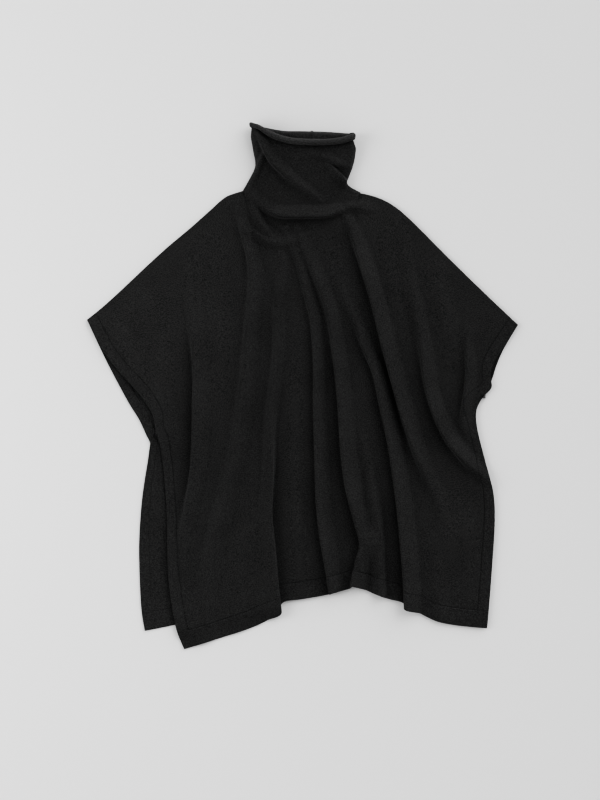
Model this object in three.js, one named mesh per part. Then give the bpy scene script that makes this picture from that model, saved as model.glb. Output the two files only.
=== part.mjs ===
// A knitted poncho sweater with a rolled funnel collar, laid flat with its front up.
// Lengths are in millimetres. X runs to the right, Y towards the collar and Z up from the
// surface that the garment lies on. The origin is the middle of its footprint, on that surface.
import * as THREE from "three";

// Cloth
const wall = 2.4; // one layer of the felted knit
const bandExtra = 0.5; // how far the front's edge bands stand proud: the back's are pressed flat
const seamGap = 0.3; // between two pieces that are linked together
const hemSeamGap = 0.5; // measured down the panel: where the hem steps at a fold it closes to less
const layerGap = 0.8; // between the front and the back that it lies on

// Trims
const hemDepth = 31;
const edgeBandWidth = 20;
const rollRadius = 4.8; // middle of the wall, around the curl of the collar's edge
const rollCurl = THREE.MathUtils.degToRad(275);

// Heights of the middle of the wall above the surface
const floorHeight = wall / 2;
const frontHeight = wall + layerGap + wall / 2;
const neckHeight = 7.6; // front of the neckline seam
const shoulderHeight = (floorHeight + frontHeight) / 2; // middle of the shoulder seams
const mouthBackHeight = floorHeight + 2 * rollRadius;
const mouthFrontHeight = mouthBackHeight + 11;

// Shares of the panels' edges
const armholeShare = 0.33; // of a side, from the shoulder's end down to where the sides are tacked
const neckEnds = [0.36, 0.63]; // of the top, where the neckline lies between the shoulders

// Mesh density
const rowsAboveTack = 7;
const rowsBelowTack = 12;
const backShoulderCells = 8;
const backNeckCells = 10;
const collarRows = 12;
const rollRows = 6;
const edgeClearance = 55; // of the columns along a fold from the right edge, once the fold has left it
const collarCornerColumns = [0.012, 0.035]; // beside the tube's left and right ends, as shares
const collarColumnGap = 0.01; // least share between those and the columns that the panels share

const { clamp, lerp, smoothstep } = THREE.MathUtils;
const named = (columns, rows) =>
  rows.map((row) => Object.fromEntries(columns.map((column, i) => [column, row[i]])));

// Outlines, each from its left or top end
const xy = ["x", "y"];
const outlines = {
  shoulderLeft: named(xy, [
    [-388, 120], [-346, 155], [-256, 239], [-202, 285], [-166, 317], [-138, 341], [-107, 352],
  ]),
  shoulderRight: named(xy, [
    [104, 348], [132, 341], [161, 327], [194, 300], [266, 228], [338, 158], [388, 111],
  ]),
  neckFront: named(xy, [
    [-107, 352], [-92, 320], [-70, 294], [-40, 284], [0, 282], [45, 281], [72, 292], [90, 318],
    [104, 348],
  ]),
  neckBack: named(xy, [
    [-107, 352], [-73, 341], [-32, 336], [14, 336], [58, 339], [104, 348],
  ]),
  frontSleeveLeft: named(xy, [
    [-388, 120], [-357, 62], [-328, 24], [-302, -4], [-282, -30], [-268, -56], [-264, -89],
  ]),
  frontSlitLeft: named(xy, [
    [-264, -89], [-256, -107], [-249, -160], [-244, -231], [-243, -292], [-240, -354], [-228, -432],
    [-213, -473],
  ]),
  frontSleeveRight: named(xy, [
    [388, 111], [363, 73], [350, 53], [341, 34], [338, 18], [340, -2], [325, -18],
  ]),
  frontSlitRight: named(xy, [
    [325, -18], [315, -36], [312, -55], [316, -84], [329, -135], [343, -190], [346, -240],
    [342, -312], [335, -402], [332, -435],
  ]),
  frontHem: named(xy, [
    [-213, -473], [-158, -456], [-94, -435], [-60, -419], [-46, -407], [-34, -388], [-4, -383],
    [32, -377], [60, -371], [80, -365], [100, -361], [136, -376], [158, -383], [178, -388],
    [194, -398], [235, -420], [266, -428], [298, -432], [332, -435],
  ]),
  backSleeveLeft: named(xy, [
    [-388, 120], [-354, 48], [-316, -24], [-294, -60], [-280, -90], [-274, -100],
  ]),
  backSlitLeft: named(xy, [
    [-274, -100], [-278, -130], [-289, -204], [-294, -280], [-293, -348], [-290, -402], [-284, -440],
  ]),
  backSleeveRight: named(xy, [
    [388, 111], [363, 69], [350, 40], [342, 15], [334, -6], [322, -22],
  ]),
  backSlitRight: named(xy, [
    [322, -22], [310, -50], [309, -78], [318, -115], [332, -170], [340, -222], [338, -290],
    [332, -357], [328, -420],
  ]),
  backHem: named(xy, [
    [-284, -440], [-226, -428], [-130, -404], [-39, -379], [32, -366], [89, -358], [140, -366],
    [184, -382], [248, -404], [328, -420],
  ]),
  collarLeft: named(xy, [
    [-107, 352], [-94, 375], [-86, 392], [-85, 404], [-88, 420], [-91, 437], [-94, 455], [-95, 469.4],
  ]),
  collarRight: named(xy, [
    [104, 348], [86, 358], [80, 367], [84, 379], [91, 397], [95, 417], [96, 434], [94, 448],
  ]),
  collarTopFront: named(xy, [
    [-95, 469.4], [-78, 463], [-60, 452], [-38, 443], [-14, 438], [14, 436.5], [42, 436.5],
    [68, 439], [84, 443.5], [94, 448],
  ]),
  collarTopBack: named(xy, [
    [-95, 469.4], [-70, 461], [-36, 454], [0, 453], [40, 452], [70, 450], [94, 448],
  ]),
};

// Folds that run down the front, from left to right. Each row is a place on the crest before the
// fold leans: how high it stands, half its width, and its sideways lean for each unit of height,
// towards the right hand of someone who walks down the table.
const crest = ["x", "y", "height", "half", "lean"];
const bodyFolds = {
  sleeve: named(crest, [
    [-192, 289, 0, 20, 0], [-200, 190, 1, 20, 0], [-199, 130, 5, 19, 0.4], [-189, 53, 11, 18, 0.8],
    [-185, -30, 14, 17, 1.05], [-187, -120, 14, 17, 1.1], [-195, -175, 12, 17, 1],
    [-204, -235, 8, 18, 0.6], [-212, -285, 4, 20, 0.2], [-206, -360, 1, 22, 0],
    [-184, -465, 0, 22, 0],
  ]),
  leftChest: named(crest, [
    [-119, 347, 0, 14, 0], [-105, 285, 6, 14, 0.7], [-90, 238, 9, 16, 0.8], [-86, 192, 9, 17, 0.5],
    [-90, 129, 9, 19, 0.5], [-101, 0, 10, 22, 0.5], [-118, -120, 11, 24, 0.4],
    [-146, -240, 11, 25, 0.3], [-166, -330, 8, 26, 0.1], [-180, -456, 3, 26, 0],
  ]),
  midLeft: named(crest, [
    [-62, 290, 0, 14, 0], [-38, 235, 3, 16, 0], [-34, 205, 6, 18, 0.1], [-42, 150, 8, 16, 0.4],
    [-44, 60, 9, 15, 0.4], [-58, -60, 11, 14, 0], [-61, -150, 12, 14, -0.4],
    [-65, -231, 13, 15, -0.7], [-59, -300, 13, 17, -0.75], [-55, -360, 13, 18, -0.8],
    [-50, -406, 13, 18, -0.8],
  ]),
  centreLeft: named(crest, [
    [-28, 284, 3, 14, 0.2], [-14, 250, 5, 14, 0.4], [0, 210, 6, 14, 0.5], [12, 165, 7, 14, 0.7],
    [24, 120, 8, 14, 0.9], [31, 44, 10, 14, 0.95], [32, -40, 11, 15, 0.9], [36, -130, 12, 16, 1],
    [39, -200, 13, 17, 1], [45, -262, 13, 17, 1], [54, -315, 13, 17, 1], [62, -368, 12, 17, 1],
  ]),
  centreRight: named(crest, [
    [-6, 283, 4, 15, 0.3], [8, 245, 7, 16, 0.5], [22, 212, 8, 16, 0.5], [38, 174, 9, 16, 0.5],
    [54, 125, 10, 16, 0.5], [66, 60, 12, 16, 0.8], [74, 5, 13, 16, 0.95], [79, -51, 13, 17, 0.95],
    [83, -110, 14, 17, 0.95], [91, -175, 14, 17, 0.95], [107, -240, 13, 17, 0.95],
    [117, -282, 13, 17, 0.95], [110, -318, 14, 17, 1],
    [101, -362, 14, 17, 1],
  ]),
  flap: named(crest, [
    [20, 282, 0, 16, 0], [68, 84, 0, 18, 0], [105, -78, 0, 18, 0], [119, -135, 4, 16, 0],
    [127, -204, 9, 17, -0.2], [134, -270, 10, 16, -0.3], [138, -374, 10, 16, -0.3],
  ]),
  innerRight: named(crest, [
    [44, 281, 0, 16, 0], [60, 215, 1, 18, 0], [76, 165, 3, 18, 0.2], [93, 134, 6, 17, 0.5],
    [115, 78, 9, 16, 0.8], [137, 28, 11, 15, 0.95], [150, -25, 12, 16, 0.95], [166, -96, 13, 16, 1],
    [179, -175, 13, 17, 1], [188, -250, 14, 17, 1], [195, -330, 14, 17, 1], [199, -402, 14, 17, 1],
  ]),
  outerRight: named(crest, [
    [80, 304, 4, 14, 0.1], [92, 280, 7, 15, 0.5], [105, 249, 10, 16, 0.8], [118, 213, 12, 16, 0.95],
    [138, 148, 13, 16, 0.95], [156, 75, 13, 16, 1], [177, 0, 14, 16, 1], [193, -60, 13, 17, 0.95],
    [208, -110, 11, 18, 0.8], [226, -160, 8, 19, 0.5], [246, -210, 5, 22, 0.3],
    [262, -280, 2, 25, 0], [273, -428, 0, 26, 0],
  ]),
  shoulderToSlit: named(crest, [
    [172, 322, 0, 20, 0], [182, 235, 3, 22, 0], [197, 165, 6, 22, 0.1], [213, 102, 8, 19, 0.5],
    [224, 45, 10, 17, 0.8], [233, -5, 11, 16, 0.95], [248, -50, 12, 16, 1], [268, -92, 12, 16, 0.95],
    [296, -130, 10, 17, 0.7], [324, -158, 6, 18, 0.3], [346, -176, 3, 18, 0],
  ]),
};

// Folds that cross the panels or lie on the collar
const freeFolds = {
  armholePinch: named(crest, [
    [300, 112, 0, 12, 0], [299, 75, 5, 13, 0.6], [303, 30, 8, 13, 0.9], [301, -5, 9, 13, 1],
    [296, -35, 8, 13, 0.9], [291, -64, 6, 13, 0.6], [298, -100, 0, 13, 0],
  ]),
  cowl: named(crest, [
    [-100, 350, 1, 13, 0], [-84, 338, 4, 14, 0.2], [-62, 324, 8, 14, 0.4], [-40, 318, 12, 15, 0.6],
    [-4, 319, 13, 15, 0.65], [40, 319, 13, 15, 0.65], [64, 321, 10, 14, 0.5], [88, 322, 2, 13, 0],
    [108, 318, 0, 14, 0],
  ]),
  collarTwist: named(crest, [
    [-80, 458, 2, 10, 0.5], [-66, 432, 7, 12, 0.8], [-52, 408, 9, 13, 0.8], [-29, 384, 9, 14, 0.6],
    [0, 358, 8, 14, 0.1], [24, 338, 4, 15, -0.2], [44, 326, 0, 15, 0],
  ]),
  collarKinkLeft: named(crest, [
    [-64, 426, 0, 9, 0], [-71, 410, 5, 9, 0.3], [-82, 386, 5, 9, 0.3], [-93, 362, 1, 9, 0],
  ]),
  collarKinkRight: named(crest, [
    [42, 404, 0, 9, 0], [52, 388, 6, 10, -0.5], [65, 374, 9, 10, -0.6], [80, 361, 7, 10, -0.4],
    [98, 350, 2, 11, 0],
  ]),
  collarBreak: named(crest, [
    [-6, 414, 0, 14, 0], [18, 417, 4, 14, -0.1], [44, 411, 5, 13, 0.3], [60, 402, 5, 11, 0.5],
    [78, 396, 3, 10, 0.2], [92, 398, 0, 10, 0],
  ]),
};

// Cells across the front's columns between two neighbouring folds, from the left edge to the right
const gapCells = named(["afterLeft", "flat", "beforeRight"], [
  [2, 4, 3], [3, 2, 3], [3, 1, 3], [3, 1, 3], [3, 1, 2],
  [2, 1, 2], [2, 1, 3], [3, 1, 3], [3, 1, 3], [3, 3, 2],
]);

const vector = ({ x, y }) => new THREE.Vector2(x, y);
const spline = (rows) => new THREE.SplineCurve(rows.map(vector));

// A boundary made of splines in a row, each of which takes its own share of the parameter
function boundary(parts) {
  const curves = parts.map(([rows, share]) => ({ curve: spline(rows), share }));
  return (t) => {
    let rest = clamp(t, 0, 1);
    for (const { curve, share } of curves) {
      if (rest <= share) return curve.getPointAt(rest / share);
      rest -= share;
    }
    return curves.at(-1).curve.getPointAt(1);
  };
}

const [neckStart, neckEnd] = neckEnds;
const topEdge = (neckline) =>
  boundary([
    [outlines.shoulderLeft, neckStart],
    [neckline, neckEnd - neckStart],
    [outlines.shoulderRight, 1 - neckEnd],
  ]);
const sideEdge = (sleeve, slit) => boundary([[sleeve, armholeShare], [slit, 1 - armholeShare]]);
const edge = (rows) => boundary([[rows, 1]]);
const topDown = (rows) => edge([...rows].reverse());

// A flat sheet between four boundaries: u runs to the right and v downwards
function coonsSheet({ top, bottom, left, right }) {
  const corners = [top(0), top(1), bottom(0), bottom(1)];
  return (u, v) => {
    const across = left(v).multiplyScalar(1 - u).add(right(v).multiplyScalar(u));
    const down = top(u).multiplyScalar(1 - v).add(bottom(u).multiplyScalar(v));
    const weights = [(1 - u) * (1 - v), u * (1 - v), (1 - u) * v, u * v];
    corners.forEach((corner, i) => down.addScaledVector(corner, -weights[i]));
    return across.add(down);
  };
}

const frontSheet = coonsSheet({
  top: topEdge(outlines.neckFront),
  bottom: edge(outlines.frontHem),
  left: sideEdge(outlines.frontSleeveLeft, outlines.frontSlitLeft),
  right: sideEdge(outlines.frontSleeveRight, outlines.frontSlitRight),
});
const backSheet = coonsSheet({
  top: topEdge(outlines.neckBack),
  bottom: edge(outlines.backHem),
  left: sideEdge(outlines.backSleeveLeft, outlines.backSlitLeft),
  right: sideEdge(outlines.backSleeveRight, outlines.backSlitRight),
});
const collarSides = { left: topDown(outlines.collarLeft), right: topDown(outlines.collarRight) };
const collarFrontSheet = coonsSheet({
  top: edge(outlines.collarTopFront),
  bottom: edge(outlines.neckFront),
  ...collarSides,
});
const collarBackSheet = coonsSheet({
  top: edge(outlines.collarTopBack),
  bottom: edge(outlines.neckBack),
  ...collarSides,
});

// A fold's crest line, cut into short straight steps that carry its sizes
const stepsPerRow = 5;
function crestSteps(rows) {
  const line = spline(rows);
  const count = (rows.length - 1) * stepsPerRow;
  return Array.from({ length: count + 1 }, (_, i) => {
    const t = i / count;
    const place = t * (rows.length - 1);
    const k = Math.min(Math.floor(place), rows.length - 2);
    const between = (name) => lerp(rows[k][name], rows[k + 1][name], place - k);
    const { x, y } = line.getPoint(t);
    const along = line.getTangent(t);
    const sizes = { height: between("height"), half: between("half"), lean: between("lean") };
    return { x, y, sideX: along.y, sideY: -along.x, ...sizes };
  });
}

// The place on a crest line that is nearest to a point
function nearestOnCrest(steps, p) {
  let best = { distance: Infinity };
  for (let i = 0; i + 1 < steps.length; i += 1) {
    const a = steps[i];
    const b = steps[i + 1];
    const [runX, runY] = [b.x - a.x, b.y - a.y];
    const along = ((p.x - a.x) * runX + (p.y - a.y) * runY) / (runX * runX + runY * runY);
    const part = clamp(along, 0, 1);
    const distance = Math.hypot(a.x + runX * part - p.x, a.y + runY * part - p.y);
    if (distance < best.distance) best = { distance, a, b, part };
  }
  return best;
}

// The back is gathered with the front: a lower fold lies in the hollow of each of the front's
const nested = { height: 0.25, half: 0.7, shift: 0.35, least: 9 };
const nest = (steps) =>
  steps.map(({ x, y, sideX, sideY, height, half, lean }) => ({
    x: x + sideX * height * lean * nested.shift,
    y: y + sideY * height * lean * nested.shift,
    sideX,
    sideY,
    height: Math.max(0, height - nested.least) * nested.height,
    half: half * nested.half,
    lean: 0,
  }));
const frontCrests = Object.values({ ...bodyFolds, ...freeFolds }).map(crestSteps);
const backCrests = Object.values(bodyFolds).map(crestSteps).map(nest);

// How far the folds lift a point of the sheet and push it sideways
function foldEffect(crests, p) {
  const effect = { lift: 0, shift: new THREE.Vector2() };
  for (const steps of crests) {
    const { distance, a, b, part } = nearestOnCrest(steps, p);
    const half = lerp(a.half, b.half, part);
    if (distance >= half) continue;
    const lift = (lerp(a.height, b.height, part) * (1 + Math.cos((Math.PI * distance) / half))) / 2;
    const lean = lift * lerp(a.lean, b.lean, part);
    effect.lift += lift;
    effect.shift.x += lean * lerp(a.sideX, b.sideX, part);
    effect.shift.y += lean * lerp(a.sideY, b.sideY, part);
  }
  return effect;
}

// How far a point of the front lies below the back's hem, where it comes down onto the surface
const backHemLine = spline(outlines.backHem).getSpacedPoints(60);
function belowBackHem(p) {
  const i = clamp(backHemLine.findIndex((q) => q.x > p.x), 1, backHemLine.length - 1);
  const [a, b] = [backHemLine[i - 1], backHemLine[i]];
  return lerp(a.y, b.y, clamp((p.x - a.x) / (b.x - a.x), 0, 1)) - p.y;
}

const distanceTo = (points, p) => Math.min(...points.map((q) => Math.hypot(q.x - p.x, q.y - p.y)));
const neckSeam = spline(outlines.neckFront).getSpacedPoints(60);
const shoulderSeams = [outlines.shoulderLeft, outlines.shoulderRight].flatMap((rows) =>
  spline(rows).getSpacedPoints(50),
);

// Nearness to the shoulder seams, where the two panels close on each other: 1 on the seam
const shoulderBlend = 26;
const nearShoulder = (p) => 1 - smoothstep(distanceTo(shoulderSeams, p), 0, shoulderBlend);

// The front's own height, before its folds: raised to the collar along the neckline
const neckBlend = 45;
const drop = { start: 9, end: 34 };
function frontRestHeight(p) {
  const dropped = smoothstep(belowBackHem(p), drop.start, drop.end);
  const neck = 1 - smoothstep(distanceTo(neckSeam, p), 0, neckBlend);
  const raised = lerp(lerp(frontHeight, floorHeight, dropped), neckHeight, neck);
  return lerp(raised, shoulderHeight + (wall + seamGap) / 2, nearShoulder(p));
}

function frontSurface(u, v) {
  const p = frontSheet(u, v);
  const { lift, shift } = foldEffect(frontCrests, p);
  return new THREE.Vector3(p.x + shift.x, p.y + shift.y, frontRestHeight(p) + lift);
}

function backSurface(u, v) {
  const p = backSheet(u, v);
  const rest = lerp(floorHeight, shoulderHeight - (wall + seamGap) / 2, nearShoulder(p));
  return new THREE.Vector3(p.x, p.y, rest + foldEffect(backCrests, p).lift);
}

// A place on a surface: its point, and the direction out of the cloth there
const probe = 0.002;
function placeOn(surface, u, v) {
  const down = surface(u, v + probe).sub(surface(u, v - probe));
  const across = surface(u + probe, v).sub(surface(u - probe, v));
  return { point: surface(u, v), out: down.cross(across).normalize() };
}

// A cloth wall through a grid of places at its middle, closed into a tube if asked
function clothWall(grid, { proud = 0, tube = false } = {}) {
  const rows = grid.length;
  const columns = grid[0].length;
  const layer = (offset) =>
    grid.flat().flatMap(({ point, out }) => point.clone().addScaledVector(out, offset).toArray());
  const positions = [...layer(wall / 2 + proud), ...layer(-wall / 2)];
  const inner = rows * columns;
  const vertex = (i, j) => i * columns + (j % columns);
  const index = [];
  const quad = (a, b, c, d) => index.push(a, b, c, a, c, d);
  // Rims that face each other across a seam are split along the same diagonals
  const rim = (a, b) => quad(a, inner + a, inner + b, b);
  const facingRim = (a, b) => quad(inner + a, inner + b, b, a);
  const cells = tube ? columns : columns - 1;
  for (let j = 0; j < cells; j += 1) {
    for (let i = 0; i + 1 < rows; i += 1) {
      const [a, b, c, d] = [vertex(i, j), vertex(i + 1, j), vertex(i + 1, j + 1), vertex(i, j + 1)];
      quad(a, b, c, d);
      quad(inner + d, inner + c, inner + b, inner + a);
    }
    facingRim(vertex(0, j + 1), vertex(0, j));
    rim(vertex(rows - 1, j), vertex(rows - 1, j + 1));
  }
  for (let i = 0; !tube && i + 1 < rows; i += 1) {
    rim(vertex(i, 0), vertex(i + 1, 0));
    facingRim(vertex(i + 1, columns - 1), vertex(i, columns - 1));
  }
  const geometry = new THREE.BufferGeometry();
  geometry.setAttribute("position", new THREE.Float32BufferAttribute(positions, 3));
  geometry.setIndex(index);
  geometry.computeVertexNormals();
  return geometry;
}

// How many millimetres one unit of u takes at the left and the right end of a sheet's row
const endShare = 0.01;
const endSpeed = {
  left: (sheet, v) => sheet(0, v).distanceTo(sheet(endShare, v)) / endShare,
  right: (sheet, v) => sheet(1, v).distanceTo(sheet(1 - endShare, v)) / endShare,
};

// Where a row of the front crosses a fold's crest line, found by halving
const bodyCrests = Object.values(bodyFolds).map(crestSteps);
const halvings = 14;
function crossing(steps, v) {
  let [left, right] = [0, 1];
  for (let i = 0; i < halvings; i += 1) {
    const middle = (left + right) / 2;
    const p = frontSheet(middle, v);
    const { a, b, part } = nearestOnCrest(steps, p);
    const offset = (p.x - lerp(a.x, b.x, part)) * a.sideX + (p.y - lerp(a.y, b.y, part)) * a.sideY;
    if (offset > 0) left = middle;
    else right = middle;
  }
  return (left + right) / 2;
}

// Moves the column that is nearest to each end of the neckline onto it, on the top rows only
const snapRows = 0.06;
function snapToNeck(columns, v) {
  const pull = 1 - smoothstep(v, 0, snapRows);
  const nearest = neckEnds.map((end) => {
    const gaps = columns.map((u) => Math.abs(u - end));
    return gaps.indexOf(Math.min(...gaps));
  });
  return columns.map((u, k) => {
    const end = neckEnds[nearest.indexOf(k)];
    return end === undefined ? u : lerp(u, end, pull);
  });
}

// Columns of the front across one row, close together on the flanks of its folds
const widest = (rows) => Math.max(...rows.map((row) => row.half));
const stopHalves = [edgeBandWidth / 2, ...Object.values(bodyFolds).map(widest), edgeBandWidth / 2];
const flankShare = 0.88;
function frontColumns(v, seam) {
  const crossings = bodyCrests.map((steps) => crossing(steps, v));
  const first = seam / endSpeed.left(frontSheet, v);
  const rightSpeed = endSpeed.right(frontSheet, v);
  const last = 1 - seam / rightSpeed;
  crossings.push(Math.min(crossings.pop(), 1 - edgeClearance / rightSpeed));
  const stops = [first, ...crossings, last];
  const columns = [first];
  for (let i = 0; i + 1 < stops.length; i += 1) {
    const gap = frontSheet(stops[i], v).distanceTo(frontSheet(stops[i + 1], v));
    const crowd = Math.min(1 / gap, flankShare / (stopHalves[i] + stopHalves[i + 1]));
    const near = stopHalves[i] * crowd;
    const far = 1 - stopHalves[i + 1] * crowd;
    const cells = (from, to, count) => {
      for (let k = 1; k <= count; k += 1) {
        columns.push(lerp(stops[i], stops[i + 1], lerp(from, to, k / count)));
      }
    };
    cells(0, near, gapCells[i].afterLeft);
    cells(near, far, gapCells[i].flat);
    cells(far, 1, gapCells[i].beforeRight);
  }
  return snapToNeck(columns, v);
}

function backColumns(v, seam) {
  const first = seam / endSpeed.left(backSheet, v);
  const last = 1 - seam / endSpeed.right(backSheet, v);
  const stops = [first, ...neckEnds, last];
  const cells = [backShoulderCells, backNeckCells, backShoulderCells];
  const spread = cells.flatMap((count, i) =>
    Array.from({ length: count }, (_, k) => lerp(stops[i], stops[i + 1], k / count)),
  );
  return [...spread, last];
}

// Rows of a panel, as shares of the way from its top edge to its hem
const panelRows = [
  ...Array.from({ length: rowsAboveTack }, (_, k) => armholeShare * (k / rowsAboveTack) ** 1.2),
  ...Array.from({ length: rowsBelowTack + 1 }, (_, k) => lerp(armholeShare, 1, k / rowsBelowTack)),
];

// The row at a distance above the hem, in one column
const hemShare = 0.05;
const aboveHem = (sheet, u, distance) =>
  1 - (distance * hemShare) / sheet(u, 1 - hemShare).distanceTo(sheet(u, 1));

const poncho = new THREE.Group();
const feltedKnit = (name, color) =>
  new THREE.MeshStandardMaterial({ name, color, roughness: 0.95, metalness: 0 });
const panelKnit = feltedKnit("panel knit", 0x1d1d1f);
const bandKnit = feltedKnit("band knit", 0x222225);

function addPiece(name, geometry, material) {
  const piece = new THREE.Mesh(geometry, material);
  piece.name = name;
  poncho.add(piece);
}

// A panel, with the bands along its sleeve edges, slits and hem
const tackGap = 0.0004; // half the gap between two bands where the sides are tacked, as a share
function addPanel(side, { sheet, surface, columnsAt, proud }) {
  const half = seamGap / 2;
  const place = (u, v) => placeOn(surface, u, v * aboveHem(sheet, u, hemDepth + hemSeamGap / 2));
  const gridOf = (rows, columnsOf) => rows.map((v) => columnsOf(v).map((u) => place(u, v)));
  const panelColumns = (v) => columnsAt(v, edgeBandWidth + half);
  addPiece(`${side}_panel`, clothWall(gridOf(panelRows, panelColumns)), panelKnit);

  const inset = edgeBandWidth - half;
  const bandColumns = {
    left: (v) => [0, inset / 2, inset].map((d) => d / endSpeed.left(sheet, v)),
    right: (v) => [inset, inset / 2, 0].map((d) => 1 - d / endSpeed.right(sheet, v)),
  };
  const bandRows = {
    armhole: panelRows.slice(0, rowsAboveTack + 1).map((v) => Math.min(v, armholeShare - tackGap)),
    slit: panelRows.slice(rowsAboveTack).map((v) => Math.max(v, armholeShare + tackGap)),
  };
  for (const [trim, rows] of Object.entries(bandRows)) {
    for (const [hand, columnsOf] of Object.entries(bandColumns)) {
      addPiece(`${side}_${trim}_band_${hand}`, clothWall(gridOf(rows, columnsOf), { proud }), bandKnit);
    }
  }

  const hemColumns = [0, ...columnsAt(1, edgeBandWidth), 1];
  const hemGrid = [hemDepth - hemSeamGap / 2, hemDepth / 2, 0].map((d) =>
    hemColumns.map((u) => placeOn(surface, u, aboveHem(sheet, u, d))),
  );
  addPiece(`${side}_hem_band`, clothWall(hemGrid, { proud }), bandKnit);
}
addPanel("front", { sheet: frontSheet, surface: frontSurface, columnsAt: frontColumns, proud: bandExtra });
addPanel("back", { sheet: backSheet, surface: backSurface, columnsAt: backColumns, proud: 0 });

// The collar is one flattened tube, whose columns meet the panels' columns along the neckline. A
// point on it has its rise from the neckline (0) to the mouth (1) and a turn: 0 to 1 across the
// front from left to right, then 1 to 2 back across the back.
const tubeFlatness = 0.6;
const sideReach = 14; // how far in from its left and right ends the flattened tube rounds over
function tubeRound(turn, rise) {
  const across = collarFrontSheet(0, 1 - rise).distanceTo(collarFrontSheet(1, 1 - rise));
  const inwards = Math.min(Math.abs(turn), Math.abs(1 - turn), Math.abs(2 - turn)) * across;
  return Math.sin((Math.PI / 2) * Math.min(1, inwards / sideReach)) ** tubeFlatness;
}

function collarPoint(turn, rise) {
  const onFront = turn < 1;
  const p = (onFront ? collarFrontSheet : collarBackSheet)(onFront ? turn : 2 - turn, 1 - rise);
  const front = lerp(neckHeight, mouthFrontHeight, smoothstep(rise, 0.3, 1));
  const back = lerp(floorHeight, mouthBackHeight, smoothstep(rise, 0.5, 1));
  const round = tubeRound(turn, rise);
  const z = (front + back) / 2 + ((onFront ? 1 : -1) * round * (front - back)) / 2;
  if (!onFront) return new THREE.Vector3(p.x, p.y, z);
  const calm = round * (1 - smoothstep(rise, 0.92, 1));
  const { lift, shift } = foldEffect(frontCrests, p);
  return new THREE.Vector3(p.x + shift.x * calm, p.y + shift.y * calm, z + lift * calm);
}

// A place on the tube's wall, moved in so that its outer face keeps to the outline from above
function collarPlace(turn, rise) {
  const at = (t, r) => collarPoint((t + 2) % 2, r);
  const up = at(turn, rise + probe).sub(at(turn, rise - probe)).normalize();
  const along = at(turn + probe, rise).sub(at(turn - probe, rise)).normalize();
  const out = along.cross(up).normalize();
  const reach = wall / 2 + 2 * rollRadiusAt(turn) * smoothstep(rise, 0.8, 1);
  const inset = new THREE.Vector3(out.x * reach * (1 - tubeRound(turn, rise)), 0, 0);
  return { point: at(turn, rise).sub(inset), up, out };
}

// The roll is slimmer at the collar's left end, where the tube is pressed flat
function rollRadiusAt(turn) {
  const fromLeft = Math.min(turn, 2 - turn);
  return rollRadius * lerp(0.6, 1, smoothstep(fromLeft, 0, 0.25));
}

function rollPlace(turn, curl) {
  const { point, up, out } = collarPlace(turn, 1);
  const radius = rollRadiusAt(turn);
  const centre = point.clone().addScaledVector(out, radius);
  const outwards = out.clone().multiplyScalar(Math.cos(curl)).addScaledVector(up, -Math.sin(curl));
  return { point: centre.addScaledVector(outwards, -radius), out: outwards };
}

function collarWall() {
  const [start, end] = neckEnds;
  const inNeck = (u) => (u - start) / (end - start);
  const clear = collarCornerColumns.at(-1) + collarColumnGap;
  const across = (columns) => [
    0,
    ...collarCornerColumns,
    ...columns.map(inNeck).filter((t) => t > clear && t < 1 - clear),
    ...collarCornerColumns.map((t) => 1 - t).reverse(),
  ];
  const front = across(frontColumns(0, edgeBandWidth));
  const back = across(backColumns(0, edgeBandWidth));
  const turns = [...front, 1, ...back.slice(1).reverse().map((t) => 2 - t)];
  const base = seamGap / spline(outlines.collarLeft).getLength();
  const rises = Array.from({ length: collarRows + 1 }, (_, k) => lerp(1, base, k / collarRows));
  const curls = Array.from({ length: rollRows }, (_, k) => (rollCurl * (rollRows - k)) / rollRows);
  return clothWall([
    ...curls.map((curl) => turns.map((turn) => rollPlace(turn, curl))),
    ...rises.map((rise) => turns.map((turn) => collarPlace(turn, rise))),
  ], { tube: true });
}
addPiece("collar", collarWall(), panelKnit);

export default poncho;
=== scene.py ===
"""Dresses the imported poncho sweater: felted knit on fine folded cloth, its seams, light and camera.

Lengths are in metres, in the part's own frame: X to the right, Y towards the collar, Z up.
"""

import logging
import math
from collections.abc import Callable
from dataclasses import dataclass
from enum import Enum

import bpy
import numpy as np
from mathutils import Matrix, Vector


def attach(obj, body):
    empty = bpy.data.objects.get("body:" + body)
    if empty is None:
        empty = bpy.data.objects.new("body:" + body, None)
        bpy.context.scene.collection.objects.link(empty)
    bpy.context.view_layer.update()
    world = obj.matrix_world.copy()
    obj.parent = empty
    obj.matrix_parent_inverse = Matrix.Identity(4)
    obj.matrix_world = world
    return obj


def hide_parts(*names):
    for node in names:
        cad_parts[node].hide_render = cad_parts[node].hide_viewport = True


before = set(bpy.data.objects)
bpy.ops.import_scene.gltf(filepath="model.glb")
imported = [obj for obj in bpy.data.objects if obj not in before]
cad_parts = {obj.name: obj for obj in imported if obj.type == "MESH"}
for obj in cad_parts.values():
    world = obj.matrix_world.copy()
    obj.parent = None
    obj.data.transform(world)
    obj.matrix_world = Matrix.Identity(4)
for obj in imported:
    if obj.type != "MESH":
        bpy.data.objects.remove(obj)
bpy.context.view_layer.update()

Array = np.ndarray
Points = tuple[tuple[float, ...], ...]
Surface = Callable[[Array, Array], Array]
log = logging.getLogger("poncho")
TINY = 1e-12

# Cloth and trims
WALL = 0.0024
BAND_EXTRA = 0.0005
LAYER_GAP = 0.0008
HEM_DEPTH = 0.031
EDGE_BAND = 0.020
ROLL_RADIUS = 0.0048
ROLL_CURL = math.radians(275)

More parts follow.
